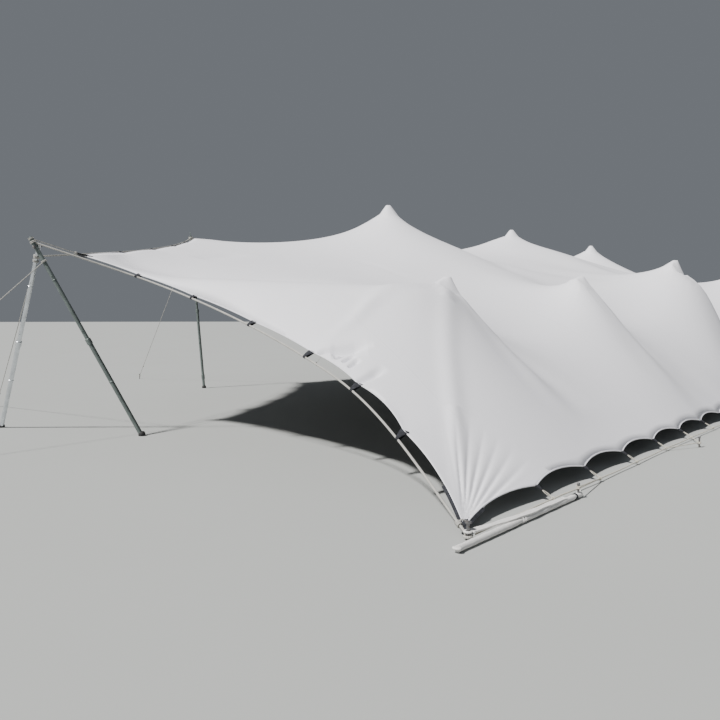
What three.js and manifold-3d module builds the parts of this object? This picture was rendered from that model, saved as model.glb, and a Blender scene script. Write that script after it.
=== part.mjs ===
import * as THREE from 'three';
import Module from 'manifold-3d';
import { mergeVertices } from 'three/addons/utils/BufferGeometryUtils.js';

// Stretch tent: an elastic canopy over centre and side poles, pegged along one long edge,
// held up on poles along the other, with an A-frame at each end. Millimetres, +Z up.
// +X runs along the tent and +Y to the raised edge. The tent is symmetric about the plane X = 0.
// Values are measured from the ground under the middle of the ridge, and the finished group is
// moved so that its origin is under the middle of everything, stakes included.

const wasm = await Module();
wasm.setup();
const { Manifold, Mesh: WasmMesh } = wasm;

// Plan and heights of the whole tent
const halfLength = 12800;
const nearEdgeY = -6550;
const stakeReachY = 7350;
const groundStakeY = -6870;
const ridgeHeight = 4000;
const raisedEdgeHeight = 3500;
const raisedEdgeY = 4200;

// Canopy cloth, modelled thicker than the real membrane
const clothThickness = 12;
const scallopCount = 24;
const stepsPerScallop = 4;
const columns = scallopCount * stepsPerScallop;
const firstScallop = 1280;
const loopPitch = (2 * (halfLength - firstScallop)) / (scallopCount - 2);
const loopHeight = 130;
const loopInset = 70;
const nearArch = [0, 60, 50];
const endArch = [70, 0, 25];
const endArchShares = [1, 1, 0.6, 0.35, 0.3, 0.3, 0.3];
const farArch = [0, -60, 15];
const seatGap = 0.3;
const panelCount = 6;

// Edge ropes and webbing
const ropeRadius = 11;
const groundRopeRadius = 7;
const loopCordRadius = 6;
const guyRadius = 6;
const ropeSides = 5;
const farStrapReach = [0, -120, -25];
const webbingWidth = 90;
const webbingNeck = 30;
const webbingThickness = 10;
const webbingBite = 1.01;

// Poles
const tubeRadius = 30;
const innerTubeRadius = 25;
const collarRadius = 38;
const legTubeRadius = 27;
const tubeSides = 12;
const footRadius = 48;
const footHeight = 60;
const centreHeadRadius = 85;
const sideHeadRadius = 50;

// Pole places: [x, y, height], left half and middle; the right half mirrors the left
const centrePoles = [
  [-5400, 0, ridgeHeight],
  [0, 0, ridgeHeight],
  [5400, 0, ridgeHeight],
];
const sidePolesLeft = [
  [-9730, -4350, 2130],
  [-6070, -4550, 2290],
  [-2460, -4950, 2760],
];
const sidePoles = [...sidePolesLeft, ...sidePolesLeft.map(([x, y, z]) => [-x, y, z]).reverse()];
const farPolesLeft = { base: [-7210, 4000, 0], tip: [-7380, raisedEdgeY, raisedEdgeHeight] };
const farPoles = [
  farPolesLeft,
  { base: [0, 4000, 0], tip: [0, raisedEdgeY, raisedEdgeHeight] },
  mirrorEnds(farPolesLeft),
];

// A-frame on the left: crossing point of the legs and the two feet
const crossing = [-12887, -17, 2552];
const legNearFoot = [-11880, -800, 0];
const legFarFoot = [-12810, 1440, 0];
const nearLegStickOut = 140;
const farLegStickOut = 25;

// Rope line along the left end: from the ground ring up to the A-frame
const groundRing = [-12890, -6620, 25];
const endRopePoints = [
  [-12350, -5560, 550],
  [-12100, -4810, 910],
  [-11950, -4020, 1200],
  [-11900, -3070, 1530],
  [-11900, -1990, 1860],
  [-11950, -840, 2170],
];
const endStrapReach = [120, 10, 50];
const endStrapShares = [1, 1, 1, 0.75, 0.55, 0.5];
const nearCorner = [-12745, -6500, 45];
const highCorner = [-12130, 210, 2500];
const highRopeReach = [-60, 150, 20];
const endSpanRows = [3, 3, 3, 3, 2, 3, 3];
const rows = endSpanRows.reduce((sum, n) => sum + n, 0);

// Rope line along the raised edge: its scallop count to each pole and its bow between poles
const farPoleScallops = [5, 12, 19];
const farRopeBow = [
  [200, -230, -60],
  [0, -330, -90],
  [0, -330, -90],
  [-200, -230, -60],
];

// Close to a pole head the cloth falls as a cone, with more slope sideways and frontward.
// Sideways is to the end of the tent for a centre pole and to its middle for a side pole.
const coneReach = 200;
const centreCone = { slope: 1.01, sideways: 0.14, frontward: 0 };
const sideConesLeft = [
  { slope: 0.5, sideways: 1, frontward: 0.8 },
  { slope: 0.3, sideways: 0.9, frontward: 0.8 },
  { slope: 0.49, sideways: 0.6, frontward: 1.4 },
];

// Pull along the tent against the pull across it, and the lines between the pole heads and the
// corner that pull harder than the cloth around them
const lengthwisePull = 0.64;
const tensionWidth = 350;
const tensionLines = [
  { route: [[-9730, -4350], [-6070, -4550], [-2460, -4950], [0, -4950]], strength: 0.33 },
  { route: [[-10056, -3731], [-12130, 210]], strength: 80 },
  { route: [[-5400, 0], [-6070, -4550]], strength: 0.7 },
  { route: [[-5400, 0], [-2460, -4950]], strength: 1.5 },
  { route: [[0, 0], [-2460, -4950]], strength: 5.3 },
];

// Guy ropes and stakes
const stakeRadius = 14;
const stakeHeight = 140;
const endGuyStakes = [
  [-15600, -750, 0],
  [-11800, 4050, 0],
];
const farGuyStakeX = -6800;
const stakeLoops = [4, 7, 10, 13, 16, 19];
const slingStake = [-11230, -6742];
const spigotHeight = 90;
const spigotRadius = 10;
const ropeBelowTip = 45;

// Lashings, measured down the leg from the crossing, where a minus is above it, or down the
// pole from its tip
const endRopeLashBelow = -70;
const cornerLashBelow = -118;
const farRopeLashBelow = 150;
const guyLashBelow = 212;
const poleGuyBelow = 85;

// Telescopic tubes, feet and heads
const centreJointHeight = 2050;
const tubeOverlap = 250;
const boreDepth = 350;
const collarLength = 70;
const footStart = 20;
const centreFootRadius = 68;
const centreHeadLength = 120;
const centreHeadTaper = 140;
const sideHeadLength = 50;
const sideHeadTaper = 80;
const sideJointShare = 0.55;
const legJointShare = 0.5;
const trimHeight = 200;
const trimReach = 4;
const skyLevel = 4900;

function mirrorEnds(pole) {
  return {
    base: [-pole.base[0], pole.base[1], pole.base[2]],
    tip: [-pole.tip[0], pole.tip[1], pole.tip[2]],
  };
}

const vec = (p) => new THREE.Vector3(...p);
const mix = (a, b, t) => a.map((value, axis) => value + (b[axis] - value) * t);
const shifted = (a, b, scale = 1) => a.map((value, axis) => value + b[axis] * scale);
const mirrored = (p) => [-p[0], p[1], p[2]];
const arch = (t) => 4 * t * (1 - t);

// Solids

function solid(geometry) {
  const plain = geometry.index ? geometry.toNonIndexed() : geometry.clone();
  plain.deleteAttribute('normal');
  plain.deleteAttribute('uv');
  const merged = mergeVertices(plain, 1e-3);
  return new Manifold(
    new WasmMesh({
      numProp: 3,
      vertProperties: Float32Array.from(merged.attributes.position.array),
      triVerts: Uint32Array.from(merged.index.array),
    }),
  );
}

function geometryOf(body) {
  const mesh = body.getMesh();
  const geometry = new THREE.BufferGeometry();
  geometry.setAttribute('position', new THREE.BufferAttribute(mesh.vertProperties, 3));
  geometry.setIndex(new THREE.BufferAttribute(mesh.triVerts, 1));
  geometry.computeVertexNormals();
  return geometry;
}

// The same shape on the other side of the plane X = 0
function mirrorGeometry(geometry) {
  const twin = geometry.clone();
  twin.applyMatrix4(new THREE.Matrix4().makeScale(-1, 1, 1));
  const order = twin.index.array;
  for (let corner = 0; corner < order.length; corner += 3) {
    [order[corner], order[corner + 1]] = [order[corner + 1], order[corner]];
  }
  twin.computeVertexNormals();
  return twin;
}

const united = (parts) => parts.reduce((all, part) => all.add(part));

function turnedTo(geometry, from, to) {
  const start = vec(from);
  const end = vec(to);
  const axis = end.clone().sub(start).normalize();
  const turn = new THREE.Quaternion().setFromUnitVectors(new THREE.Vector3(0, 1, 0), axis);
  geometry.applyQuaternion(turn);
  const middle = start.add(end).multiplyScalar(0.5);
  geometry.translate(middle.x, middle.y, middle.z);
  return geometry;
}

function bar(from, to, radius, sides = tubeSides, endRadius = radius) {
  const length = vec(from).distanceTo(vec(to));
  return solid(turnedTo(new THREE.CylinderGeometry(endRadius, radius, length, sides), from, to));
}

function upright(x, y, z0, z1, radius, sides = tubeSides, topRadius = radius) {
  return bar([x, y, z0], [x, y, z1], radius, sides, topRadius);
}

function rope(points, radius, steps, sides = ropeSides) {
  const section = new THREE.Shape();
  for (let side = 0; side < sides; side += 1) {
    const angle = (2 * Math.PI * side) / sides;
    const corner = [radius * Math.cos(angle), radius * Math.sin(angle)];
    if (side === 0) section.moveTo(...corner);
    else section.lineTo(...corner);
  }
  const path = new THREE.CatmullRomCurve3(points.map(vec), false, 'centripetal');
  return solid(new THREE.ExtrudeGeometry(section, { steps, bevelEnabled: false, extrudePath: path }));
}

// A ring of rope round a post: its axis runs from one point towards the other
function ring(centre, along, innerRadius, thickness, segments = 9) {
  const profile = [];
  const sides = 4;
  for (let side = 0; side <= sides; side += 1) {
    const angle = (2 * Math.PI * side) / sides;
    const reach = innerRadius + thickness + thickness * Math.cos(angle);
    profile.push(new THREE.Vector2(reach, thickness * Math.sin(angle)));
  }
  const axis = vec(along).normalize().toArray();
  const from = shifted(centre, axis, -1);
  const to = shifted(centre, axis, 1);
  return solid(turnedTo(new THREE.LatheGeometry(profile, segments), from, to));
}

// A flat strap from one point to another, lying flat on the given side direction
function strap(from, to, sideways, width, thickness, endWidth = width) {
  const along = vec(to).sub(vec(from));
  const length = along.length();
  const outline = new THREE.Shape([
    new THREE.Vector2(0, -width / 2),
    new THREE.Vector2(length, -endWidth / 2),
    new THREE.Vector2(length, endWidth / 2),
    new THREE.Vector2(0, width / 2),
  ]);
  const geometry = new THREE.ExtrudeGeometry(outline, { depth: thickness, bevelEnabled: false });
  geometry.translate(0, 0, -thickness / 2);
  const xAxis = along.normalize();
  const yAxis = vec(sideways);
  yAxis.addScaledVector(xAxis, -yAxis.dot(xAxis)).normalize();
  const zAxis = new THREE.Vector3().crossVectors(xAxis, yAxis);
  geometry.applyMatrix4(new THREE.Matrix4().makeBasis(xAxis, yAxis, zAxis));
  geometry.translate(...from);
  return solid(geometry);
}

// Canopy edges

function loopX(loop) {
  if (loop === 0) return nearCorner[0];
  if (loop === scallopCount) return -nearCorner[0];
  return -halfLength + firstScallop + (loop - 1) * loopPitch;
}

function loopPoint(loop) {
  if (loop === 0) return nearCorner;
  if (loop === scallopCount) return mirrored(nearCorner);
  return [loopX(loop), nearEdgeY + loopInset, loopHeight];
}

function nearEdgePoint(column) {
  const loop = Math.min(Math.floor(column / stepsPerScallop), scallopCount - 1);
  const t = column / stepsPerScallop - loop;
  return shifted(mix(loopPoint(loop), loopPoint(loop + 1), t), nearArch, arch(t));
}

const endSupports = [
  nearCorner,
  ...endRopePoints.map((point, order) => shifted(point, endStrapReach, endStrapShares[order])),
  highCorner,
];

function endEdgePoint(row) {
  let span = 0;
  let start = 0;
  while (row > start + endSpanRows[span]) {
    start += endSpanRows[span];
    span += 1;
  }
  const t = (row - start) / endSpanRows[span];
  const bulge = endArchShares[span] * arch(t);
  return shifted(mix(endSupports[span], endSupports[span + 1], t), endArch, bulge);
}

// Where the edge rope goes round a raised edge pole
function ropeSeat({ base, tip }) {
  const axis = vec(tip).sub(vec(base)).normalize().toArray();
  return shifted(tip, axis, -ropeBelowTip);
}

// Rope line along the raised edge, as a point for each canopy column
const farPoleColumns = farPoleScallops.map((scallop) => scallop * stepsPerScallop);
const farRopeEnd = shifted(highCorner, highRopeReach);
const farRopeKnots = [
  { column: 0, point: farRopeEnd },
  ...farPoles.map((pole, order) => ({ column: farPoleColumns[order], point: ropeSeat(pole) })),
  { column: columns, point: mirrored(farRopeEnd) },
];

function farRopePoint(column) {
  let span = 0;
  while (span < farRopeKnots.length - 2 && column > farRopeKnots[span + 1].column) span += 1;
  const a = farRopeKnots[span];
  const b = farRopeKnots[span + 1];
  const t = (column - a.column) / (b.column - a.column);
  return shifted(mix(a.point, b.point, t), farRopeBow[span], arch(t));
}

function farEdgeSupport(column) {
  if (column === 0) return highCorner;
  if (column === columns) return mirrored(highCorner);
  return shifted(farRopePoint(column), farStrapReach);
}

function farEdgePoint(column) {
  const start = Math.min(
    Math.floor(column / stepsPerScallop) * stepsPerScallop,
    columns - stepsPerScallop,
  );
  const t = (column - start) / stepsPerScallop;
  const a = farEdgeSupport(start);
  const b = farEdgeSupport(start + stepsPerScallop);
  return shifted(mix(a, b, t), farArch, arch(t));
}

// Canopy surface: edges and pole heads are fixed, the rest relaxes into a tensioned membrane.
// It relaxes on a grid finer than the one the panels are built on.

const columnSplit = 3;
const rowSplit = 5;
const fineColumns = columns * columnSplit;
const fineRows = rows * rowSplit;
const fineWide = fineColumns + 1;
const fineCount = fineWide * (fineRows + 1);
const index = (column, row) => row * (columns + 1) + column;
const fineIndex = (column, row) => row * fineWide + column;

function forEachFine(visit) {
  for (let row = 0; row <= fineRows; row += 1) {
    for (let column = 0; column <= fineColumns; column += 1) visit(column, row);
  }
}

// Start values from the four edges, one list for each axis
function startFields() {
  const fields = [0, 1, 2].map(() => new Float64Array(fineCount));
  const near = [];
  const far = [];
  for (let column = 0; column <= fineColumns; column += 1) {
    near.push(nearEdgePoint(column / columnSplit));
    far.push(farEdgePoint(column / columnSplit));
  }
  forEachFine((column, row) => {
    const u = column / fineColumns;
    const v = row / fineRows;
    const left = endEdgePoint(row / rowSplit);
    const corners = mix(
      mix(nearCorner, mirrored(nearCorner), u),
      mix(highCorner, mirrored(highCorner), u),
      v,
    );
    const ruled = shifted(mix(near[column], far[column], v), mix(left, mirrored(left), u));
    const point = shifted(ruled, corners, -1);
    fields.forEach((field, axis) => {
      field[fineIndex(column, row)] = point[axis];
    });
  });
  return fields;
}

const sideCones = [...sideConesLeft, ...[...sideConesLeft].reverse()];
const canopyPeaks = [
  ...centrePoles.map((place) => ({ place, cone: centreCone, side: Math.sign(place[0]) })),
  ...sidePoles.map((place, order) => ({ place, cone: sideCones[order], side: -Math.sign(place[0]) })),
];

// Height of the cone of cloth at a point near a peak, or null out of its reach
function coneHeight({ place, cone, side }, x, y) {
  const distance = Math.hypot(x - place[0], y - place[1]);
  const sideStep = Math.max(side * (x - place[0]), 0);
  if (distance > coneReach) return null;
  const frontFall = cone.frontward * Math.max(place[1] - y, 0);
  return place[2] - cone.slope * distance - cone.sideways * sideStep - frontFall;
}

// The panel grid's point nearest each pole head is drawn to it, with the cloth around it
function drawToPeaks(x, y) {
  const drawReach = 1200;
  for (const { place } of canopyPeaks) {
    let best = 0;
    let bestDistance = Infinity;
    for (let row = 1; row < rows; row += 1) {
      for (let column = 1; column < columns; column += 1) {
        const at = fineIndex(column * columnSplit, row * rowSplit);
        const distance = Math.hypot(x[at] - place[0], y[at] - place[1]);
        if (distance < bestDistance) {
          bestDistance = distance;
          best = at;
        }
      }
    }
    const middle = [x[best], y[best]];
    for (let at = 0; at < fineCount; at += 1) {
      const away = Math.hypot(x[at] - middle[0], y[at] - middle[1]) / drawReach;
      const share = away < 1 ? (1 - away * away) ** 2 : 0;
      x[at] += share * (place[0] - middle[0]);
      y[at] += share * (place[1] - middle[1]);
    }
  }
}

function awayFromRoute(route, x, y) {
  let best = Infinity;
  for (let leg = 0; leg < route.length - 1; leg += 1) {
    const [ax, ay] = route[leg];
    const [bx, by] = route[leg + 1];
    const length = Math.hypot(bx - ax, by - ay);
    const [wx, wy] = [(bx - ax) / length, (by - ay) / length];
    const along = Math.min(Math.max((x - ax) * wx + (y - ay) * wy, 0), length);
    best = Math.min(best, Math.hypot(x - ax - along * wx, y - ay - along * wy));
  }
  return best;
}

const bell = (distance, width) => Math.exp(-((distance / width) ** 2));

// Tension along a link of the grid grows with the width of cloth beside it, falls with its
// length and is higher on the tension lines
function pulls(x, y) {
  const gap = (a, b) => Math.hypot(x[a] - x[b], y[a] - y[b]);
  const [width, depth, firm, along, across] = [0, 1, 2, 3, 4].map(
    () => new Float64Array(fineCount),
  );
  forEachFine((column, row) => {
    const here = fineIndex(column, row);
    if (column > 0) width[here] += gap(here, here - 1) / 2;
    if (column < fineColumns) width[here] += gap(here, here + 1) / 2;
    if (row > 0) depth[here] += gap(here, here - fineWide) / 2;
    if (row < fineRows) depth[here] += gap(here, here + fineWide) / 2;
    const leftX = -Math.abs(x[here]);
    firm[here] = tensionLines.reduce(
      (sum, { route, strength }) =>
        sum + strength * bell(awayFromRoute(route, leftX, y[here]), tensionWidth),
      1,
    );
  });
  const link = (here, next, beside) => {
    const length = Math.max(gap(here, next), 1);
    return ((beside[here] + beside[next]) * (firm[here] + firm[next])) / (4 * length);
  };
  forEachFine((column, row) => {
    const here = fineIndex(column, row);
    if (column < fineColumns) along[here] = link(here, here + 1, depth) * lengthwisePull;
    if (row < fineRows) across[here] = link(here, here + fineWide, width) / lengthwisePull;
  });
  return { along, across };
}

// Each free value moves to the weighted middle of its four neighbours, over and over
function relax(field, held, { along, across }, rounds) {
  const boost = 1.94;
  for (let round = 0; round < rounds; round += 1) {
    forEachFine((column, row) => {
      const here = fineIndex(column, row);
      if (held[here]) return;
      const left = along[here - 1];
      const right = along[here];
      const below = across[here - fineWide];
      const above = across[here];
      const sum =
        left * field[here - 1] +
        right * field[here + 1] +
        below * field[here - fineWide] +
        above * field[here + fineWide];
      field[here] += boost * (sum / (left + right + below + above) - field[here]);
    });
  }
}

function relaxedSurface() {
  const [x, y, z] = startFields();
  const held = new Uint8Array(fineCount);
  forEachFine((column, row) => {
    const onEdge = column === 0 || column === fineColumns || row === 0 || row === fineRows;
    held[fineIndex(column, row)] = onEdge ? 1 : 0;
  });
  const even = new Float64Array(fineCount).fill(1);
  const evenPulls = { along: even, across: even };
  const rounds = 500;
  relax(x, held, evenPulls, rounds);
  relax(y, held, evenPulls, rounds);
  drawToPeaks(x, y);
  for (const peak of canopyPeaks) {
    for (let at = 0; at < fineCount; at += 1) {
      const height = coneHeight(peak, x[at], y[at]);
      if (height !== null && !held[at]) {
        z[at] = height;
        held[at] = 1;
      }
    }
  }
  relax(z, held, pulls(x, y), rounds);
  const points = [];
  for (let row = 0; row <= rows; row += 1) {
    for (let column = 0; column <= columns; column += 1) {
      const at = fineIndex(column * columnSplit, row * rowSplit);
      points.push([x[at], y[at], z[at]]);
    }
  }
  return evened(points);
}

// The right half as the exact mirror of the left half
function evened(points) {
  for (let row = 0; row <= rows; row += 1) {
    points[index(columns / 2, row)][0] = 0;
    for (let column = 0; column < columns / 2; column += 1) {
      points[index(columns - column, row)] = mirrored(points[index(column, row)]);
    }
  }
  return points;
}

const surface = relaxedSurface();

// A point moved away from its neighbour on the grid, or towards it where the move is negative
function movedFrom(point, column, row, move) {
  const neighbour = surface[index(column, row)];
  const length = vec(point).distanceTo(vec(neighbour));
  return mix(point, neighbour, -move / length);
}

// A closed sheet between two levels over a patch of the canopy grid, with its two side edges
// moved outwards and its cloth edges grown
function sheet([firstColumn, lastColumn, firstRow, lastRow], raise, drop, sides = [0, 0], grow = 0) {
  const positions = [];
  const wide = lastColumn - firstColumn + 1;
  const deep = lastRow - firstRow + 1;
  const place = (column, row) => {
    let point = surface[index(column, row)];
    if (column === firstColumn) point = movedFrom(point, column + 1, row, sides[0]);
    if (column === lastColumn) point = movedFrom(point, column - 1, row, sides[1]);
    if (column === 0) point = movedFrom(point, 1, row, grow);
    if (column === columns) point = movedFrom(point, columns - 1, row, grow);
    if (row === 0) point = movedFrom(point, column, 1, grow);
    if (row === rows) point = movedFrom(point, column, rows - 1, grow);
    return point;
  };
  for (const level of [raise, drop]) {
    for (let row = firstRow; row <= lastRow; row += 1) {
      for (let column = firstColumn; column <= lastColumn; column += 1) {
        const [x, y, z] = place(column, row);
        positions.push(x, y, level(z));
      }
    }
  }
  const faces = [];
  const top = (c, r) => r * wide + c;
  const low = (c, r) => wide * deep + top(c, r);
  const split = (a, b, c, d) => faces.push(a, b, c, a, c, d);
  for (let r = 0; r < deep - 1; r += 1) {
    for (let c = 0; c < wide - 1; c += 1) {
      if (firstColumn + c < columns / 2) {
        split(top(c, r), top(c + 1, r), top(c + 1, r + 1), top(c, r + 1));
        split(low(c, r), low(c, r + 1), low(c + 1, r + 1), low(c + 1, r));
      } else {
        split(top(c + 1, r), top(c + 1, r + 1), top(c, r + 1), top(c, r));
        split(low(c + 1, r), low(c, r), low(c, r + 1), low(c + 1, r + 1));
      }
    }
  }
  const wall = (a, b, c, d) => faces.push(a, c, b, b, c, d);
  for (let c = 0; c < wide - 1; c += 1) {
    wall(top(c, 0), top(c + 1, 0), low(c, 0), low(c + 1, 0));
    wall(top(c + 1, deep - 1), top(c, deep - 1), low(c + 1, deep - 1), low(c, deep - 1));
  }
  for (let r = 0; r < deep - 1; r += 1) {
    wall(top(0, r + 1), top(0, r), low(0, r + 1), low(0, r));
    wall(top(wide - 1, r), top(wide - 1, r + 1), low(wide - 1, r), low(wide - 1, r + 1));
  }
  const geometry = new THREE.BufferGeometry();
  geometry.setAttribute('position', new THREE.Float32BufferAttribute(positions, 3));
  geometry.setIndex(faces);
  return geometry;
}

const raised = (z) => z + clothThickness / 2;
const lowered = (z) => z - clothThickness / 2;

function nearestInner(points, place) {
  let best = null;
  let bestDistance = Infinity;
  for (let row = 1; row < rows; row += 1) {
    for (let column = 1; column < columns; column += 1) {
      const point = points[index(column, row)];
      const distance = Math.hypot(point[0] - place[0], point[1] - place[1]);
      if (distance < bestDistance) {
        bestDistance = distance;
        best = index(column, row);
      }
    }
  }
  return best;
}

// Everything above the underside of the canopy near a point, to trim what stands under it
function spaceAbove(place) {
  const at = nearestInner(surface, place);
  const column = at % (columns + 1);
  const row = Math.floor(at / (columns + 1));
  const patch = [
    Math.max(column - trimReach, 0),
    Math.min(column + trimReach, columns),
    Math.max(row - trimReach, 0),
    Math.min(row + trimReach, rows),
  ];
  return solid(sheet(patch, () => skyLevel, (z) => lowered(z) - seatGap));
}

// Materials
const cloth = new THREE.MeshStandardMaterial({ color: 0xf3f2f6, roughness: 0.75, metalness: 0 });
const webbing = new THREE.MeshStandardMaterial({ color: 0x1d1f24, roughness: 0.9, metalness: 0 });
const whiteRope = new THREE.MeshStandardMaterial({ color: 0xdcdad2, roughness: 0.9, metalness: 0 });
const greyRope = new THREE.MeshStandardMaterial({ color: 0x9c9c94, roughness: 0.9, metalness: 0 });
const aluminium = new THREE.MeshStandardMaterial({ color: 0xb9c0c6, roughness: 0.35, metalness: 0.9 });
const steel = new THREE.MeshStandardMaterial({ color: 0x8e9590, roughness: 0.45, metalness: 0.85 });
const dullSteel = new THREE.MeshStandardMaterial({ color: 0x6a6d70, roughness: 0.6, metalness: 0.7 });

const tent = new THREE.Group();

function put(name, body, material) {
  const mesh = new THREE.Mesh(body instanceof THREE.BufferGeometry ? body : geometryOf(body), material);
  mesh.name = name;
  tent.add(mesh);
}

// The same piece at both ends of the tent
function putPair(left, right, body, material) {
  const geometry = body instanceof THREE.BufferGeometry ? body : geometryOf(body);
  put(left, geometry, material);
  put(right, mirrorGeometry(geometry), material);
}

// Cutting leaves a few loose crumbs of a piece at its seat, so only its main body is kept
const mainBody = (body) => {
  const pieces = body.decompose();
  return pieces.reduce((best, piece) => (piece.volume() > best.volume() ? piece : best));
};

// Canopy, welded from strips that run from the pegged edge to the raised edge
function addCanopy() {
  const strip = columns / panelCount;
  for (let panel = 0; panel < panelCount / 2; panel += 1) {
    const first = panel * strip;
    const sides = [panel === 0 ? 0 : -seatGap / 2, -seatGap / 2];
    const geometry = sheet([first, first + strip, 0, rows], raised, lowered, sides);
    putPair(`canopy_panel_${panel + 1}`, `canopy_panel_${panelCount - panel}`, geometry, cloth);
  }
}

// Telescopic centre pole: lower tube with a foot, upper tube with a domed head
function centrePole([x, y, height]) {
  const joint = centreJointHeight;
  const tubeEnd = joint - tubeOverlap;
  const bore = upright(x, y, tubeEnd, tubeEnd + boreDepth, innerTubeRadius + seatGap);
  const lower = united([
    upright(x, y, 0, footHeight, centreFootRadius, tubeSides, collarRadius),
    upright(x, y, footStart, joint, tubeRadius),
    upright(x, y, joint - collarLength, joint, collarRadius),
  ]).subtract(bore);
  const headStart = height - centreHeadLength;
  const top = height + trimHeight;
  const upper = united([
    upright(x, y, tubeEnd + seatGap, top, innerTubeRadius),
    upright(x, y, headStart - centreHeadTaper, headStart, innerTubeRadius, tubeSides, centreHeadRadius),
    upright(x, y, headStart, top, centreHeadRadius),
  ]).subtract(spaceAbove([x, y]));
  return { lower, upper: mainBody(upper) };
}

function addCentrePoles() {
  const [outer, middle] = centrePoles.map(centrePole);
  const label = (order, piece) => `centre_pole_${order}_${piece}_tube`;
  putPair(label(1, 'lower'), label(3, 'lower'), outer.lower, aluminium);
  putPair(label(1, 'upper'), label(3, 'upper'), outer.upper, aluminium);
  put(label(2, 'lower'), middle.lower, aluminium);
  put(label(2, 'upper'), middle.upper, aluminium);
}

// Side pole: a shorter tube with a flat pressure disc under the canopy
function sidePole([x, y, height]) {
  const joint = height * sideJointShare;
  const headStart = height - sideHeadLength;
  const top = height + trimHeight;
  const pole = united([
    upright(x, y, 0, footHeight, footRadius, tubeSides, tubeRadius),
    upright(x, y, footStart, joint, tubeRadius),
    upright(x, y, joint - collarLength, joint, collarRadius),
    upright(x, y, joint - footStart, top, innerTubeRadius),
    upright(x, y, headStart - sideHeadTaper, headStart, innerTubeRadius, tubeSides, sideHeadRadius),
    upright(x, y, headStart, top, sideHeadRadius),
  ]);
  return mainBody(pole.subtract(spaceAbove([x, y])));
}

function addSidePoles() {
  sidePolesLeft.forEach((place, order) => {
    putPair(`side_pole_${order + 1}`, `side_pole_${6 - order}`, sidePole(place), aluminium);
  });
}

// Raised edge pole: it leans outwards and its spigot stands above the rope
function farPole({ base, tip }) {
  const along = (share) => mix(base, tip, share);
  const joint = along(0.52);
  const collarStart = along(0.5);
  const lowBand = [along(0.06), along(0.09)];
  const spigotStart = along(0.99);
  return united([
    upright(base[0], base[1], 0, footHeight, footRadius, tubeSides, tubeRadius),
    bar(along(0.006), joint, tubeRadius),
    bar(collarStart, joint, collarRadius),
    bar(...lowBand, collarRadius),
    bar(collarStart, tip, innerTubeRadius),
    bar(spigotStart, shifted(tip, [0, 0, spigotHeight]), spigotRadius, 10),
  ]);
}

function addFarPoles() {
  putPair('raised_edge_pole_1', 'raised_edge_pole_3', farPole(farPoles[0]), steel);
  put('raised_edge_pole_2', farPole(farPoles[1]), steel);
}

// A-frame: two telescopic legs that pass side by side at the crossing, with a bolt through both
const frameNormal = vec(legNearFoot)
  .sub(vec(crossing))
  .cross(vec(legFarFoot).sub(vec(crossing)))
  .normalize()
  .toArray();

function legAxis(foot, side, stickOut) {
  const top = shifted(crossing, side, legTubeRadius + 1);
  const lift = stickOut / vec(top).distanceTo(vec(foot));
  return { bottom: foot, top, end: mix(foot, top, 1 + lift) };
}

const nearLeg = legAxis(legNearFoot, frameNormal.map((value) => -value), nearLegStickOut);
const farLeg = legAxis(legFarFoot, frameNormal, farLegStickOut);
const boltRadius = 8;
const boltHeadRadius = 20;
const boltHeadLength = 24;
const headGap = 1.5;
const boltHeadAt = 2 * legTubeRadius + headGap;
const boltEnd = (side) => shifted(crossing, frameNormal, side * (boltHeadAt + boltHeadLength));

function legTube({ bottom, end }) {
  const along = (share) => mix(bottom, end, share);
  const joint = along(legJointShare);
  const openEndWall = 4;
  const tube = united([
    upright(bottom[0], bottom[1], 0, footHeight, footRadius, tubeSides, tubeRadius),
    bar(along(0.008), joint, tubeRadius),
    bar(along(legJointShare - 0.03), joint, collarRadius),
    bar(along(legJointShare - 0.02), end, legTubeRadius),
  ]);
  const openEnd = bar(along(0.965), along(1.02), legTubeRadius - openEndWall);
  const hole = bar(boltEnd(-1), boltEnd(1), boltRadius + seatGap);
  return tube.subtract(openEnd).subtract(hole);
}

function addFrames() {
  putPair('left_a_frame_near_leg', 'right_a_frame_near_leg', legTube(nearLeg), steel);
  putPair('left_a_frame_far_leg', 'right_a_frame_far_leg', legTube(farLeg), aluminium);
  const headStart = (side) => shifted(crossing, frameNormal, side * boltHeadAt);
  const bolt = united([
    bar(boltEnd(-1), boltEnd(1), boltRadius),
    bar(boltEnd(-1), headStart(-1), boltHeadRadius, 6),
    bar(headStart(1), boltEnd(1), boltHeadRadius, 6),
  ]);
  putPair('left_a_frame_bolt', 'right_a_frame_bolt', bolt, dullSteel);
}

// Where a rope is lashed round a leg, by its distance below the crossing
function lashing(leg, below) {
  const length = vec(leg.bottom).distanceTo(vec(leg.top));
  const centre = mix(leg.top, leg.bottom, below / length);
  const axis = vec(leg.top).sub(vec(leg.bottom)).toArray();
  const clear = bar(leg.bottom, leg.end, legTubeRadius + seatGap);
  return { centre, clear, ring: (thickness) => ring(centre, axis, legTubeRadius + seatGap, thickness) };
}

function poleLashing({ base, tip }, below) {
  const axis = vec(tip).sub(vec(base)).normalize().toArray();
  const centre = shifted(tip, axis, -below);
  const clear = bar(base, tip, innerTubeRadius + seatGap);
  return { centre, clear, ring: (thickness) => ring(centre, axis, innerTubeRadius + seatGap, thickness) };
}

const endRopeLash = lashing(nearLeg, endRopeLashBelow);
const highCornerLash = lashing(nearLeg, cornerLashBelow);
const farRopeLash = lashing(farLeg, farRopeLashBelow);
const groundRingHole = upright(groundRing[0], groundRing[1], 0, stakeHeight, stakeRadius + seatGap);

// The canopy with its seat gap all round, over a patch of the grid
function patchClear(firstColumn, lastColumn, firstRow, lastRow) {
  const above = (z) => raised(z) + seatGap;
  const below = (z) => lowered(z) - seatGap;
  return solid(sheet([firstColumn, lastColumn, firstRow, lastRow], above, below, [0, 0], 2 * seatGap));
}

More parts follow.
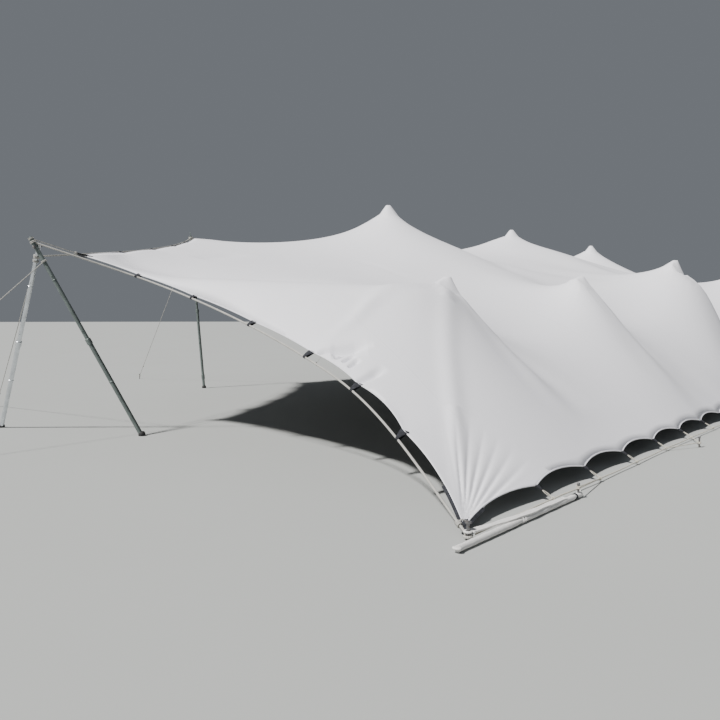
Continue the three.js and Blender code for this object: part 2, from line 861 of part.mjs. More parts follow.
// Rope up the end of the tent, with a webbing strap at each span of the cloth
function addEndRopes() {
  const route = [groundRing, ...endRopePoints, endRopeLash.centre];
  const ropeSteps = 20;
  const parts = [
    rope(route, ropeRadius, ropeSteps),
    endRopeLash.ring(ropeRadius),
    ring(groundRing, [0, 0, 1], stakeRadius + seatGap, ropeRadius),
  ];
  endRopePoints.forEach((point, order) => {
    const along = vec(route[order + 2]).sub(vec(route[order])).toArray();
    const tip = shifted(point, endStrapReach, endStrapShares[order] * webbingBite);
    parts.push(strap(point, tip, along, webbingNeck, webbingThickness, webbingWidth));
  });
  const body = united(parts)
    .subtract(patchClear(0, 1, 0, rows))
    .subtract(endRopeLash.clear)
    .subtract(groundRingHole);
  putPair('left_end_rope', 'right_end_rope', mainBody(body), greyRope);
}

// Rope along the raised edge, round the pole tips, with a webbing strap at each scallop
function addFarRope() {
  const parts = [farRopeLash.ring(ropeRadius)];
  let route = [farRopeLash.centre];
  for (let column = stepsPerScallop; column <= columns / 2; column += stepsPerScallop) {
    const from = farRopePoint(column);
    route.push(from);
    if (farPoleColumns.includes(column)) {
      parts.push(rope(route, ropeRadius, 2 * route.length - 2));
      route = [from];
    } else {
      const tip = mix(from, farEdgeSupport(column), webbingBite);
      parts.push(strap(from, tip, [1, 0, 0], webbingNeck, webbingThickness, webbingWidth));
    }
  }
  for (const pole of farPoles.slice(0, 2)) {
    parts.push(poleLashing(pole, ropeBelowTip).ring(ropeRadius));
  }
  const leftHalf = united(parts)
    .subtract(farRopeLash.clear)
    .subtract(patchClear(0, columns / 2, rows - 1, rows));
  const rightHalf = solid(mirrorGeometry(geometryOf(leftHalf)));
  const body = farPoles.reduce(
    (rest, pole) => rest.subtract(poleLashing(pole, ropeBelowTip).clear),
    leftHalf.add(rightHalf),
  );
  put('raised_edge_rope', mainBody(body), greyRope);
}

// Rope just over the ground along the pegged edge, with loops up to the cloth and stakes
function addGroundRope() {
  const level = 35;
  const line = nearEdgeY - 90;
  const clearOfRing = 70;
  const start = groundRing[0] + clearOfRing;
  const tab = { neck: 18, thickness: 8, width: 60 };
  const hitchLevel = 60;
  const stakeSides = 6;
  const cordSides = 4;
  const parts = [bar([start, line, level], [-start, line, level], groundRopeRadius, ropeSides)];
  for (let loop = 1; loop < scallopCount; loop += 1) {
    const [x, y, z] = loopPoint(loop);
    parts.push(strap([x, line, level], [x, y + 1, z], [1, 0, 0], tab.neck, tab.thickness, tab.width));
  }
  for (const loop of stakeLoops) {
    const x = loopX(loop) + loopPitch / 2;
    const hitch = [x, groundStakeY, hitchLevel];
    parts.push(bar([loopX(loop), line, level], hitch, loopCordRadius, cordSides));
    parts.push(bar([loopX(loop + 1), line, level], hitch, loopCordRadius, cordSides));
    parts.push(upright(x, groundStakeY, 0, stakeHeight, stakeRadius, stakeSides));
  }
  for (const side of [1, -1]) {
    const [x, y] = [slingStake[0] * side, slingStake[1]];
    const knot = [loopX(2) * side, line, level];
    parts.push(upright(x, y, 0, stakeHeight, stakeRadius, stakeSides));
    parts.push(bar([x, y, stakeHeight * 0.75], knot, loopCordRadius, cordSides));
  }
  const body = united(parts).subtract(patchClear(0, columns, 0, 1));
  put('ground_rope', mainBody(body), whiteRope);
}

// Anchor stake at each pegged corner
function addCornerStakes() {
  const [x, y] = groundRing;
  const headLength = 16;
  const headWiden = 10;
  const stake = united([
    upright(x, y, 0, stakeHeight, stakeRadius),
    upright(x, y, stakeHeight - headLength, stakeHeight, stakeRadius + headWiden),
  ]);
  putPair('left_corner_stake', 'right_corner_stake', stake, dullSteel);
}

// Black webbing that edges the cloth and gathers it at the pegged corner
function addGroundCorners() {
  const edging = { width: 50, thickness: 14, endShare: 0.9, nearScallopShare: 0.34 };
  const lead = { width: 40, share: 0.6 };
  const block = { radius: 34, below: 30, above: 24, sides: 8 };
  const low = shifted(nearCorner, [0, 0, -1]);
  const up = [0, 0, 1];
  const endTip = mix(nearCorner, endEdgePoint(1), edging.endShare);
  const nearTip = nearEdgePoint(edging.nearScallopShare * stepsPerScallop);
  const body = united([
    strap(low, endTip, up, edging.width, edging.thickness),
    strap(low, nearTip, up, edging.width, edging.thickness),
    strap(nearCorner, mix(nearCorner, groundRing, lead.share), up, lead.width, lead.width),
    bar(
      shifted(nearCorner, up, -block.below),
      shifted(nearCorner, up, block.above),
      block.radius,
      block.sides,
    ),
  ]).subtract(patchClear(0, stepsPerScallop, 0, 2));
  putPair('left_ground_corner', 'right_ground_corner', mainBody(body), webbing);
}

// Webbing and rope from the high corner of the cloth to the A-frame
function addHighCorners() {
  const patch = { length: 130, width: 170, neck: 50, thickness: 16 };
  const ropeStart = 120;
  const highLineRadius = 8;
  const target = highCornerLash.centre;
  const toFrame = vec(target).sub(vec(highCorner)).normalize().toArray();
  const patchStart = shifted(highCorner, toFrame, -1);
  const patchEnd = shifted(highCorner, toFrame, patch.length);
  const body = united([
    strap(patchStart, patchEnd, [0, 1, 0], patch.width, patch.thickness, patch.neck),
    bar(shifted(highCorner, toFrame, ropeStart), target, highLineRadius),
    highCornerLash.ring(highLineRadius),
  ])
    .subtract(patchClear(0, 2, rows - 2, rows))
    .subtract(highCornerLash.clear);
  putPair('left_high_corner', 'right_high_corner', mainBody(body), webbing);
}

// Guy rope from a lashing to its stake
function guy(lash, [x, y]) {
  const hitchLevel = stakeHeight * 0.6;
  const stakeSides = 8;
  return mainBody(
    united([
      bar(lash.centre, [x, y, hitchLevel], guyRadius, ropeSides),
      lash.ring(guyRadius),
      upright(x, y, 0, stakeHeight, stakeRadius, stakeSides),
    ]).subtract(lash.clear),
  );
}

function addGuys() {
  const outer = guy(lashing(nearLeg, guyLashBelow), endGuyStakes[0]);
  const far = guy(lashing(farLeg, guyLashBelow), endGuyStakes[1]);
  putPair('left_a_frame_outer_guy', 'right_a_frame_outer_guy', outer, greyRope);
  putPair('left_a_frame_far_guy', 'right_a_frame_far_guy', far, greyRope);
  const stakeY = stakeReachY - stakeRadius;
  const poleGuy = (pole, x) => guy(poleLashing(pole, poleGuyBelow), [x, stakeY]);
  putPair('raised_edge_guy_1', 'raised_edge_guy_3', poleGuy(farPoles[0], farGuyStakeX), greyRope);
  put('raised_edge_guy_2', poleGuy(farPoles[1], 0), greyRope);
}

// Rolled sling of white webbing: its upper turn holds the corner stake, its lower turn lies
// beside it along the pegged edge
function addSlings() {
  const [x, y] = groundRing;
  const roll = 26;
  const rollSides = 8;
  const rollSteps = 6;
  const rollLevel = roll + 2;
  const turnLevel = 62;
  const turn = { width: 44, thickness: 18 };
  const lower = [
    [x - 290, y - 95, rollLevel],
    [x + 190, y - 102, rollLevel],
    [x + 690, y - 106, rollLevel],
    [x + 1190, y - 110, rollLevel],
    [x + 1700, y - 122, rollLevel],
  ];
  const turnStart = [x + 16, y - 20, turnLevel];
  const turnEnd = [x + 1400, y - 112, turnLevel - 14];
  const body = united([
    rope(lower, roll, rollSteps, rollSides),
    strap(turnStart, turnEnd, [0, 1, 0], turn.width, turn.thickness),
    ring([x, y, turnLevel], [0, 0, 1], stakeRadius + seatGap, 8),
  ])
    .subtract(groundRingHole)
    .subtract(upright(...slingStake, 0, stakeHeight, stakeRadius + seatGap, 6));
  putPair('left_corner_sling', 'right_corner_sling', mainBody(body), cloth);
}

addCanopy();
addCentrePoles();
addSidePoles();
addFarPoles();
addFrames();
addEndRopes();
addFarRope();
addGroundRope();
addHighCorners();
addGroundCorners();
addCornerStakes();
addGuys();
addSlings();

tent.position.y = -(stakeReachY + groundStakeY - stakeRadius) / 2;

export default tent;
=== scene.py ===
import math

import bmesh
import bpy
import numpy as np
from mathutils import Matrix, Vector


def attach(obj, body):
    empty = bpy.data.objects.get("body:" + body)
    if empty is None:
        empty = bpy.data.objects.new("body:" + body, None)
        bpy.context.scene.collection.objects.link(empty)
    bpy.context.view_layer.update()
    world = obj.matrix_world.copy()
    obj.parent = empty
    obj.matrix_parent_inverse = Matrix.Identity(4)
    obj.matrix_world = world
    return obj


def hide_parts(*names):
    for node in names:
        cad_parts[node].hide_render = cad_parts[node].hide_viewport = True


bl_info = {
    "name": "Stretch Tent",
    "version": (1, 0, 0),
    "blender": (4, 5, 0),
    "location": "View3D > Sidebar > Stretch Tent",
    "description": "Canopy, poles, ropes, webbing and stakes of a stretch tent",
    "category": "Object",
}

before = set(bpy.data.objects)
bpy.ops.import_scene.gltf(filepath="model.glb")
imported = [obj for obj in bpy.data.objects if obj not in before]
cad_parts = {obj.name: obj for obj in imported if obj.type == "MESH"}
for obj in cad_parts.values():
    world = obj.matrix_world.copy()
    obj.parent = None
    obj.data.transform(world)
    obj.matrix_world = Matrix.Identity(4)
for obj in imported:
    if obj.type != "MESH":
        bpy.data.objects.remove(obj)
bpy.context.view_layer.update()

# Places are measured in metres from the ground under the middle of the ridge, as in the part's
# source, and every finished mesh is moved by this much so that it lies in the frame.
TENT_SHIFT = Vector((0.0, -0.233, 0.0))

# Plan of the canopy
HALF_LENGTH = 12.8
NEAR_EDGE_Y = -6.55
FIRST_SCALLOP = 1.28
SCALLOPS = 24
STEPS_PER_SCALLOP = 12
FLAT_DEPTH = 10.8
COLUMNS = SCALLOPS * STEPS_PER_SCALLOP
LOOP_PITCH = 2 * (HALF_LENGTH - FIRST_SCALLOP) / (SCALLOPS - 2)
LOOP_INSET, LOOP_HEIGHT = 0.07, 0.13
END_ARCH = np.array([0.07, 0.0, 0.025])
FAR_ARCH = np.array([0.0, -0.06, 0.015])
NEAR_CORNER = np.array([-12.745, -6.5, 0.045])
HIGH_CORNER = np.array([-12.13, 0.21, 2.5])
GROUND_RING = np.array([-12.89, -6.62, 0.025])
END_ROPE = [
    np.array(point)
    for point in (
        (-12.35, -5.56, 0.55),
        (-12.10, -4.81, 0.91),
        (-11.95, -4.02, 1.20),
        (-11.90, -3.07, 1.53),
        (-11.90, -1.99, 1.86),
        (-11.95, -0.84, 2.17),
    )
]
END_REACH = np.array([0.12, 0.01, 0.05])
END_REACH_SHARES = (1.0, 1.0, 1.0, 0.75, 0.55, 0.5)
END_ARCH_SHARES = (1.0, 1.0, 0.6, 0.35, 0.3, 0.3, 0.3)
END_CLOTH = [point + END_REACH * share for point, share in zip(END_ROPE, END_REACH_SHARES)]
END_SPAN_ROWS = [18, 12, 12, 12, 12, 12, 18]
ROWS = sum(END_SPAN_ROWS)
LENGTHWISE_PULL = 0.64
PLAN_ROUNDS, HEIGHT_ROUNDS = 400, 450
OVERSHOOT = 1.95

# Poles
CENTRE_POLES = [(-5.4, 0.0, 4.0), (0.0, 0.0, 4.0), (5.4, 0.0, 4.0)]
SIDE_POLES_LEFT = [(-9.73, -4.35, 2.13), (-6.07, -4.55, 2.29), (-2.46, -4.95, 2.76)]
FAR_POLES_LEFT = [((-7.21, 4.0, 0.0), (-7.38, 4.2, 3.5)), ((0.0, 4.0, 0.0), (0.0, 4.2, 3.5))]
TUBE_STEP = 0.005
CENTRE_JOINT, BUTTON_ABOVE_JOINT = 2.05, 0.09
SIDE_JOINT_SHARE, SIDE_BUTTON_SHARE = 0.55, 0.6
CENTRE_HEAD, CENTRE_FOOT = 0.062, 0.068
SIDE_HEAD, SMALL_FOOT = 0.044, 0.048

# Close to a pole head the cloth is a flat disc and then a cone: the cone's slope, and how much
# more it falls sideways and to the front. Within CAP_REACH times the cone's reach no cloth rises
# above the head.
CONE_REACH = 0.2
HEAD_DISC = 0.045
CAP_REACH = 2.5
CENTRE_CONE = (1.01, 0.14, 0.0)
SIDE_CONES_LEFT = [(0.5, 1.0, 0.8), (0.3, 0.9, 0.8), (0.49, 0.6, 1.4)]

# Straight lines of tension on the left half, and how much more they pull than the rest
TENSION_WIDTH = 0.35
FIRST_PEAK, SECOND_PEAK, THIRD_PEAK = [place[:2] for place in SIDE_POLES_LEFT]
LEFT_RIDGE, MIDDLE_RIDGE = CENTRE_POLES[0][:2], CENTRE_POLES[1][:2]
TENSION_LINES = [
    ([FIRST_PEAK, SECOND_PEAK, THIRD_PEAK, (0.0, THIRD_PEAK[1])], 0.33),
    ([(-10.056, -3.731), tuple(HIGH_CORNER[:2])], 80.0),
    ([LEFT_RIDGE, SECOND_PEAK], 0.7),
    ([LEFT_RIDGE, THIRD_PEAK], 1.5),
    ([MIDDLE_RIDGE, THIRD_PEAK], 5.3),
]

# A-frame
CROSSING = np.array([-12.887, -0.017, 2.552])
LEG_NEAR_FOOT = np.array([-11.88, -0.80, 0.0])
LEG_FAR_FOOT = np.array([-12.81, 1.44, 0.0])
LEG_RADIUS = 0.027
NEAR_STICK_OUT, FAR_STICK_OUT = 0.14, 0.025
END_LASH, CORNER_LASH, FAR_LASH, GUY_LASH, POLE_GUY_LASH = -0.070, -0.118, 0.150, 0.212, 0.085
ROPE_BELOW_TIP = 0.045
BOLT_HALF_LENGTH = 0.0795

# Rope along the raised edge, and the ground rope
FAR_SEAT_SHARES = [5 / 24, 12 / 24, 19 / 24]
FAR_BOW = [(0.2, -0.23, -0.06), (0.0, -0.33, -0.09), (0.0, -0.33, -0.09), (-0.2, -0.23, -0.06)]
HIGH_ROPE_REACH = np.array([-0.06, 0.15, 0.02])
FAR_STRAP_REACH = np.array([0.0, -0.12, -0.025])
GROUND_LINE_Y = NEAR_EDGE_Y - 0.09
GROUND_LEVEL = 0.035
STAKE_LOOPS = [4, 7, 10, 13, 16, 19]
GROUND_STAKE_Y = -6.87
SLING_STAKE = (-11.23, -6.742)
STAKE_HEIGHT, STAKE_RADIUS, STAKE_SHANK = 0.14, 0.014, 0.010
END_GUY_STAKES = [(-15.6, -0.75), (-11.8, 4.05)]
FAR_GUY_STAKES = [(-6.8, 7.336), (0.0, 7.336)]

# Straps, rings and lashings
STRAP_NARROW, STRAP_THICKNESS = 0.034, 0.003
RING_RADIUS = 0.026
LASH_TURNS, LASH_CORD_SHARE = 2.2, 0.7
GROUND_CORD, STAY_CORD = 0.007, 0.006

# Camera and light, in the frame. The pitch comes from how far the eye level lies above the
# picture's middle and from the lens, both in pixels.
CAMERA_PLACE = (-17.2, -9.493, 1.6)
EYE_LEVEL_PIXELS, LENS_PIXELS = 41, 700
CAMERA_HEADING = math.radians(40.4)
CAMERA_PITCH = math.atan(EYE_LEVEL_PIXELS / LENS_PIXELS)
SUN_FROM = (-0.58, 0.18, 0.79)
FLOOR_RADIUS = 400

MIRROR = np.array([-1.0, 1.0, 1.0])


def size_setting(name, description, default, low, high):
    return bpy.props.FloatProperty(
        name=name, description=description, default=default, min=low, max=high, unit="LENGTH")


def colour_setting(name, description, default):
    return bpy.props.FloatVectorProperty(
        name=name, description=description, default=default, min=0.0, max=1.0, subtype="COLOR")


class TentSizes(bpy.types.PropertyGroup):
    cloth_thickness: size_setting(
        "Cloth thickness", "Thickness of the canopy membrane", 0.004, 0.001, 0.01)
    hem_radius: size_setting(
        "Hem radius", "Radius of the rolled hem round the canopy", 0.007, 0.003, 0.015)
    scallop_inset: size_setting(
        "Scallop inset", "How far each scallop curves in from the pegged edge", 0.06, 0.0, 0.2)
    scallop_rise: size_setting(
        "Scallop rise", "How far each scallop rises between its loops", 0.05, 0.0, 0.2)
    fold_depth: size_setting(
        "Fold depth", "Depth of the gathered folds at the pegged corners", 0.019, 0.0, 0.04)
    edge_rope_radius: size_setting(
        "Edge rope radius", "Radius of the ropes along the ends and the raised edge",
        0.011, 0.004, 0.015)
    guy_radius: size_setting(
        "Guy rope radius", "Radius of the guy ropes", 0.006, 0.003, 0.01)
    webbing_width: size_setting(
        "Strap width", "Width of the webbing straps where they meet the cloth", 0.09, 0.03, 0.15)
    tube_radius: size_setting(
        "Tube radius", "Outer radius of the lower pole tubes", 0.03, 0.02, 0.05)


class TentColours(bpy.types.PropertyGroup):
    cloth: colour_setting("Cloth", "Colour of the canopy cloth", (0.86, 0.855, 0.90))
    # Painted shade: the underside is coloured near-black to stand in for the shade inside the tent,
    # not for a dark coating.
    underside_painted_shade: colour_setting(
        "Cloth underside", "Colour of the canopy's coated underside", (0.13, 0.13, 0.125))
    black_webbing: colour_setting(
        "Black webbing", "Colour of the straps and corner webbing", (0.012, 0.013, 0.018))
    white_webbing: colour_setting(
        "White webbing", "Colour of the rolled corner slings", (0.84, 0.83, 0.81))
    edge_rope: colour_setting(
        "Edge rope", "Colour of the ropes along the ends and raised edge", (0.46, 0.45, 0.42))
    ground_rope: colour_setting(
        "Ground rope", "Colour of the rope and loops along the pegged edge", (0.66, 0.63, 0.55))
    aluminium: colour_setting("Aluminium", "Colour of the aluminium tubes", (0.66, 0.69, 0.72))
    galvanised: colour_setting(
        "Galvanised steel", "Colour of the galvanised tubes", (0.20, 0.235, 0.225))
    floor: colour_setting("Floor", "Colour of the floor under the tent", (0.40, 0.41, 0.40))


def sizes():
    return bpy.context.scene.stretch_tent_sizes


def colours():
    return bpy.context.scene.stretch_tent_colours


# Finishes


class Number:
    """A number that changes over a surface, which takes plain arithmetic."""

    def __init__(self, finish, socket):
        self.finish = finish
        self.socket = socket

    def math(self, operation, *values):
        return self.finish.node("ShaderNodeMath", {"operation": operation}, values)

    def __add__(self, other):
        return self.math("ADD", self, other)

    __radd__ = __add__

    def __sub__(self, other):
        return self.math("SUBTRACT", self, other)

    def __rsub__(self, other):
        return self.math("SUBTRACT", other, self)

    def __mul__(self, other):
        return self.math("MULTIPLY", self, other)

    __rmul__ = __mul__

    def wave(self):
        return self.math("SINE", self)

    def above(self, edge):
        return self.math("GREATER_THAN", self, edge)

    def there_and_back(self, reach):
        return self.math("PINGPONG", self, reach)


class Finish:
    """A material built on one surface shader."""

    def __init__(self, name, colour, roughness, metallic=0.0):
        self.material = bpy.data.materials.new(name)
        self.material.use_nodes = True
        self.tree = self.material.node_tree
        self.shader = self.tree.nodes["Principled BSDF"]
        self.colour = (*colour, 1.0)
        self.shader.inputs["Base Color"].default_value = self.colour
        self.shader.inputs["Roughness"].default_value = roughness
        self.shader.inputs["Metallic"].default_value = metallic
        self.material.diffuse_color = self.colour

    def node(self, kind, settings=None, inputs=(), output=0):
        node = self.tree.nodes.new(kind)
        for key, value in (settings or {}).items():
            if key == "stops":
                for stop, (place, shade) in zip(node.color_ramp.elements, value):
                    stop.position, stop.color = place, (shade, shade, shade, 1.0)
            else:
                setattr(node, key, value)
        pairs = inputs.items() if isinstance(inputs, dict) else enumerate(inputs)
        for key, value in pairs:
            self.feed(node.inputs[key], value)
        return Number(self, node.outputs[output])

    def feed(self, socket, value):
        if isinstance(value, Number):
            self.tree.links.new(value.socket, socket)
        else:
            socket.default_value = value

    def lay(self, axis=None):
        """The piece's own flat coordinates, or one of them."""
        place = self.node("ShaderNodeAttribute", {"attribute_name": "lay"}, output=1)
        if axis is None:
            return place
        return self.node("ShaderNodeSeparateXYZ", inputs=[place], output=axis)

    def noise(self, scale, detail, stretch=(1.0, 1.0, 1.0), place=None):
        where = place or self.node("ShaderNodeTexCoord", output=3)
        laid = self.node("ShaderNodeMapping", inputs={"Vector": where, "Scale": stretch})
        cloud = {"Vector": laid, "Scale": scale, "Detail": detail}
        return self.node("ShaderNodeTexNoise", inputs=cloud)

    def steep(self, value, low, high):
        return self.node("ShaderNodeValToRGB", {"stops": [(low, 0.0), (high, 1.0)]}, [value])

    def blend(self, amount, first, second):
        settings = {"data_type": "RGBA"}
        return self.node("ShaderNodeMix", settings, {0: amount, 6: first, 7: second}, output=2)

    def shaded(self, factor):
        return tuple(channel * factor for channel in self.colour[:3]) + (1.0,)

    def paint(self, colour):
        self.feed(self.shader.inputs["Base Color"], colour)

    def roughen(self, roughness):
        self.feed(self.shader.inputs["Roughness"], roughness)

    def emboss(self, height, depth, strength=1.0):
        bump = {"Strength": strength, "Distance": depth, "Height": height}
        self.feed(self.shader.inputs["Normal"], self.node("ShaderNodeBump", inputs=bump))


FINISHES = {}


def finish(name):
    if name not in FINISHES:
        FINISHES[name] = FINISH_MAKERS[name]().material
    return FINISHES[name]


def cloth_finish():
    """Coated stretch knit: bright, matt, a faint seam every 1.6 m, fine knit and soft creases. Its
    lower skin is painted near-black, as painted shade for the dark inside of the tent.
    """
    made = Finish("canopy_cloth", colours().cloth, 0.62)
    along = made.lay(0)
    across = made.lay(1)
    soft = made.noise(0.9, 4.0, place=made.lay())
    crumple = made.noise(3.2, 5.0, (1.0, 0.35, 1.0), place=made.lay())
    panel_half = 0.8
    seam_gap = (along + panel_half).there_and_back(panel_half)
    seam = 1.0 - made.steep(seam_gap, 0.0, 0.02)
    knit = (along * 900.0).wave() * (across * 900.0).wave()
    tone = made.steep(soft, 0.35, 0.75) * 0.6 + seam * 0.35
    upper = made.blend(tone, made.shaded(1.0), made.shaded(0.94))
    # Painted shade: the lower skin takes the near-black underside colour to stand in for the shade
    # inside the tent.
    made.paint(made.blend(made.lay(2).above(0.0), (*colours().underside_painted_shade, 1.0), upper))
    made.roughen(soft * 0.12 + 0.55)
    made.emboss(crumple * 0.7 + soft * 1.2 + seam * 0.25 + knit * 0.02, 0.006, 0.5)
    return made


def webbing_finish(name, colour, roughness, wear):
    """Woven webbing: ribs across the strap, threads along it and dust in the weave."""
    made = Finish(name, colour, roughness)
    rib = (made.lay(2) * 1500.0).wave()
    thread = (made.lay(0) * 2600.0).wave()
    dust = made.steep(made.noise(24.0, 5.0), 0.4, 0.75)
    fade = tuple(min(1.0, channel * wear + 0.02) for channel in colour)
    made.paint(made.blend(dust * 0.55, made.shaded(1.0), (*fade, 1.0)))
    made.roughen(dust * 0.12 + roughness)
    made.emboss(rib * 0.6 + thread * 0.4 + dust * 0.4, 0.0006)
    return made


def rope_finish(name, colour):
    """Braided rope: crossing strands that follow the rope, and a soiled tone along its length."""
    made = Finish(name, colour, 0.85)
    turn = made.node("ShaderNodeMath", {"operation": "ARCTAN2"}, [made.lay(1), made.lay(0)])
    pitch = made.lay(2) * 260.0
    strand = (turn * 4.0 + pitch).wave() * (turn * 4.0 - pitch).wave()
    soil = made.steep(made.noise(9.0, 4.0, place=made.lay()), 0.3, 0.75)
    made.paint(made.blend(soil * 0.5 + strand * 0.15, made.shaded(1.12), made.shaded(0.55)))
    made.emboss(strand, 0.0015)
    return made


def tube_finish(name, colour, roughness, metallic, mottling):
    """Metal tube: drawn lines along it, scuffs and a mottled oxide."""
    made = Finish(name, colour, roughness, metallic)
    drawn = made.noise(60.0, 3.0, (6.0, 6.0, 0.15), place=made.lay())
    mottle = made.steep(made.noise(14.0, 5.0, (1.0, 1.0, 0.6), place=made.lay()), 0.35, 0.7)
    scuff = made.steep(made.noise(38.0, 6.0, (1.0, 1.0, 0.25), place=made.lay()), 0.56, 0.68)
    dulled = made.blend(mottle * mottling, made.shaded(1.1), made.shaded(0.62))
    made.paint(made.blend(scuff * 0.45, dulled, made.shaded(1.35)))
    made.roughen(mottle * 0.18 + scuff * 0.12 + (roughness - 0.05))
    made.emboss(drawn * 0.5 + scuff * 0.4, 0.0004)
    return made


def rubber_finish():
    made = Finish("black_rubber", (0.018, 0.018, 0.02), 0.7)
    dust = made.steep(made.noise(30.0, 5.0), 0.45, 0.75)
    made.paint(made.blend(dust * 0.5, made.shaded(1.0), (0.09, 0.085, 0.07, 1.0)))
    made.emboss(made.noise(160.0, 3.0), 0.0006)
    return made


def steel_finish():
    made = Finish("dark_steel", (0.22, 0.22, 0.225), 0.45, 0.85)
    rust = made.steep(made.noise(45.0, 6.0), 0.5, 0.72)
    made.paint(made.blend(rust * 0.7, made.shaded(1.0), (0.16, 0.10, 0.065, 1.0)))
    made.roughen(rust * 0.35 + 0.4)
    made.emboss(rust, 0.0004)
    return made


def floor_finish():
    made = Finish("studio_floor", colours().floor, 0.85)
    made.paint(made.blend(made.noise(0.35, 3.0), made.shaded(0.97), made.shaded(1.03)))
    return made


FINISH_MAKERS = {
    "canopy_cloth": cloth_finish,
    "black_webbing": lambda: webbing_finish("black_webbing", colours().black_webbing, 0.8, 3.0),
    "white_webbing": lambda: webbing_finish("white_webbing", colours().white_webbing, 0.8, 0.72),
    "edge_rope": lambda: rope_finish("edge_rope", colours().edge_rope),
    "ground_rope": lambda: rope_finish("ground_rope", colours().ground_rope),
    "guy_rope": lambda: rope_finish("guy_rope", colours().edge_rope),
    "aluminium_tube": lambda: tube_finish(
        "aluminium_tube", colours().aluminium, 0.32, 0.9, 0.45),
    "galvanised_tube": lambda: tube_finish(
        "galvanised_tube", colours().galvanised, 0.48, 0.75, 0.7),
    "black_rubber": rubber_finish,
    "steel_pin": steel_finish,
    "studio_floor": floor_finish,
}


# Shapes


def finished(piece, material, replaces=(), angle=40):
    """Gives a piece its finish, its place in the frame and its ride."""
    piece.data.materials.clear()
    piece.data.materials.append(finish(material))
    bpy.ops.object.select_all(action="DESELECT")
    piece.select_set(True)
    bpy.context.view_layer.objects.active = piece
    bpy.ops.object.shade_smooth_by_angle(angle=math.radians(angle))
    piece.data.transform(Matrix.Translation(TENT_SHIFT))
    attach(piece, "root")
    if replaces:
        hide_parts(*replaces)


def keep_lay(mesh, places):
    layer = mesh.attributes.get("lay") or mesh.attributes.new("lay", "FLOAT_VECTOR", "POINT")
    layer.data.foreach_set("vector", np.asarray(places, np.float32).ravel())


def meshed(name, points, faces, lay):
    mesh = bpy.data.meshes.new(name)
    mesh.from_pydata([tuple(map(float, point)) for point in points], [], faces)
    mesh.update()
    keep_lay(mesh, lay)
    piece = bpy.data.objects.new(name, mesh)
    bpy.context.scene.collection.objects.link(piece)
    return piece


def joined(name, pieces):
    """One object out of several, each of which keeps its own shape."""
    bpy.ops.object.select_all(action="DESELECT")
    for piece in pieces:
        piece.select_set(True)
    bpy.context.view_layer.objects.active = pieces[0]
    if len(pieces) > 1:
        bpy.ops.object.join()
    pieces[0].name = pieces[0].data.name = name
    return pieces[0]


def twin(piece):
    """The same shape at the other end of the tent, before it is finished."""
    other = piece.copy()
    other.data = piece.data.copy()
    bpy.context.scene.collection.objects.link(other)
    other.data.transform(Matrix.Diagonal((-1.0, 1.0, 1.0, 1.0)))
    other.data.flip_normals()
    return other


def both_ends(pieces, name, material, node=None, angle=40):
    """Joins pieces of the left end, and finishes them and their twin, each for its end's node."""
    left = joined(name, pieces)
    for side, piece in (("left", left), ("right", twin(left))):
        piece.name = piece.data.name = f"{side}_{name}"
        finished(piece, material, [f"{side}_{node}"] if node else (), angle)


def turned(steps, sides=28):
    """A round solid on +Z, drawn out of one disc by extruding and resizing it, step by step."""
    bpy.ops.object.select_all(action="DESELECT")
    height, radius = steps[0]
    bpy.ops.mesh.primitive_circle_add(
        vertices=sides, radius=radius, fill_type="NGON", location=(0.0, 0.0, height))
    piece = bpy.context.object
    bpy.ops.object.mode_set(mode="EDIT")
    bpy.ops.mesh.select_all(action="SELECT")
    for up, wide in steps[1:]:
        bpy.ops.mesh.extrude_region_move(TRANSFORM_OT_translate={"value": (0, 0, up - height)})
        grow = wide / radius
        bpy.ops.transform.resize(value=(grow, grow, 1.0), center_override=(0.0, 0.0, up))
        height, radius = up, wide
    bpy.ops.mesh.select_all(action="SELECT")
    bpy.ops.mesh.normals_make_consistent(inside=False)
    bpy.ops.object.mode_set(mode="OBJECT")
    bpy.ops.object.transform_apply(location=True, rotation=True, scale=True)
    places = np.empty(len(piece.data.vertices) * 3, np.float32)
    piece.data.vertices.foreach_get("co", places)
    keep_lay(piece.data, places)
    return piece


def stood(piece, base, tip):
    """Moves a piece from +Z at the origin onto the line from base to tip."""
    axis = Vector(tip) - Vector(base)
    turn = Vector((0.0, 0.0, 1.0)).rotation_difference(axis)
    piece.data.transform(Matrix.Translation(Vector(base)) @ turn.to_matrix().to_4x4())
    return piece


def length_of(base, tip):
    return (Vector(tip) - Vector(base)).length


def smooth_path(points, spacing):
    """Points at about the given spacing along a smooth curve through the given ones."""
    route = [np.array(point, float) for point in points]
    if len(route) == 2:
        count = max(1, round(float(np.linalg.norm(route[1] - route[0])) / spacing))
        return [route[0] + (route[1] - route[0]) * i / count for i in range(count + 1)]
    ends = [2 * route[0] - route[1], *route, 2 * route[-1] - route[-2]]
    found = [route[0]]
    for a, b, c, d in zip(ends, ends[1:], ends[2:], ends[3:]):
        count = max(1, round(float(np.linalg.norm(c - b)) / spacing))
        for step in range(1, count + 1):
            t = step / count
            found.append(0.5 * (
                2 * b + (c - a) * t + (2 * a - 5 * b + 4 * c - d) * t * t
                + (3 * b - a - 3 * c + d) * t ** 3))
    return found


def frames_along(points):
    """A side and an up direction at each point, carried along without twist."""
    points = [Vector(point) for point in points]
    ways = [
        (points[min(i + 1, len(points) - 1)] - points[max(i - 1, 0)]).normalized()
        for i in range(len(points))
    ]
    start = Vector((0.0, 0.0, 1.0)) if abs(ways[0].z) < 0.9 else Vector((1.0, 0.0, 0.0))
    side = ways[0].cross(start).normalized()
    found = []
    for order, way in enumerate(ways):
        if order:
            side = ways[order - 1].rotation_difference(way) @ side
            side = (side - way * side.dot(way)).normalized()
        found.append((side, way.cross(side)))
    return found


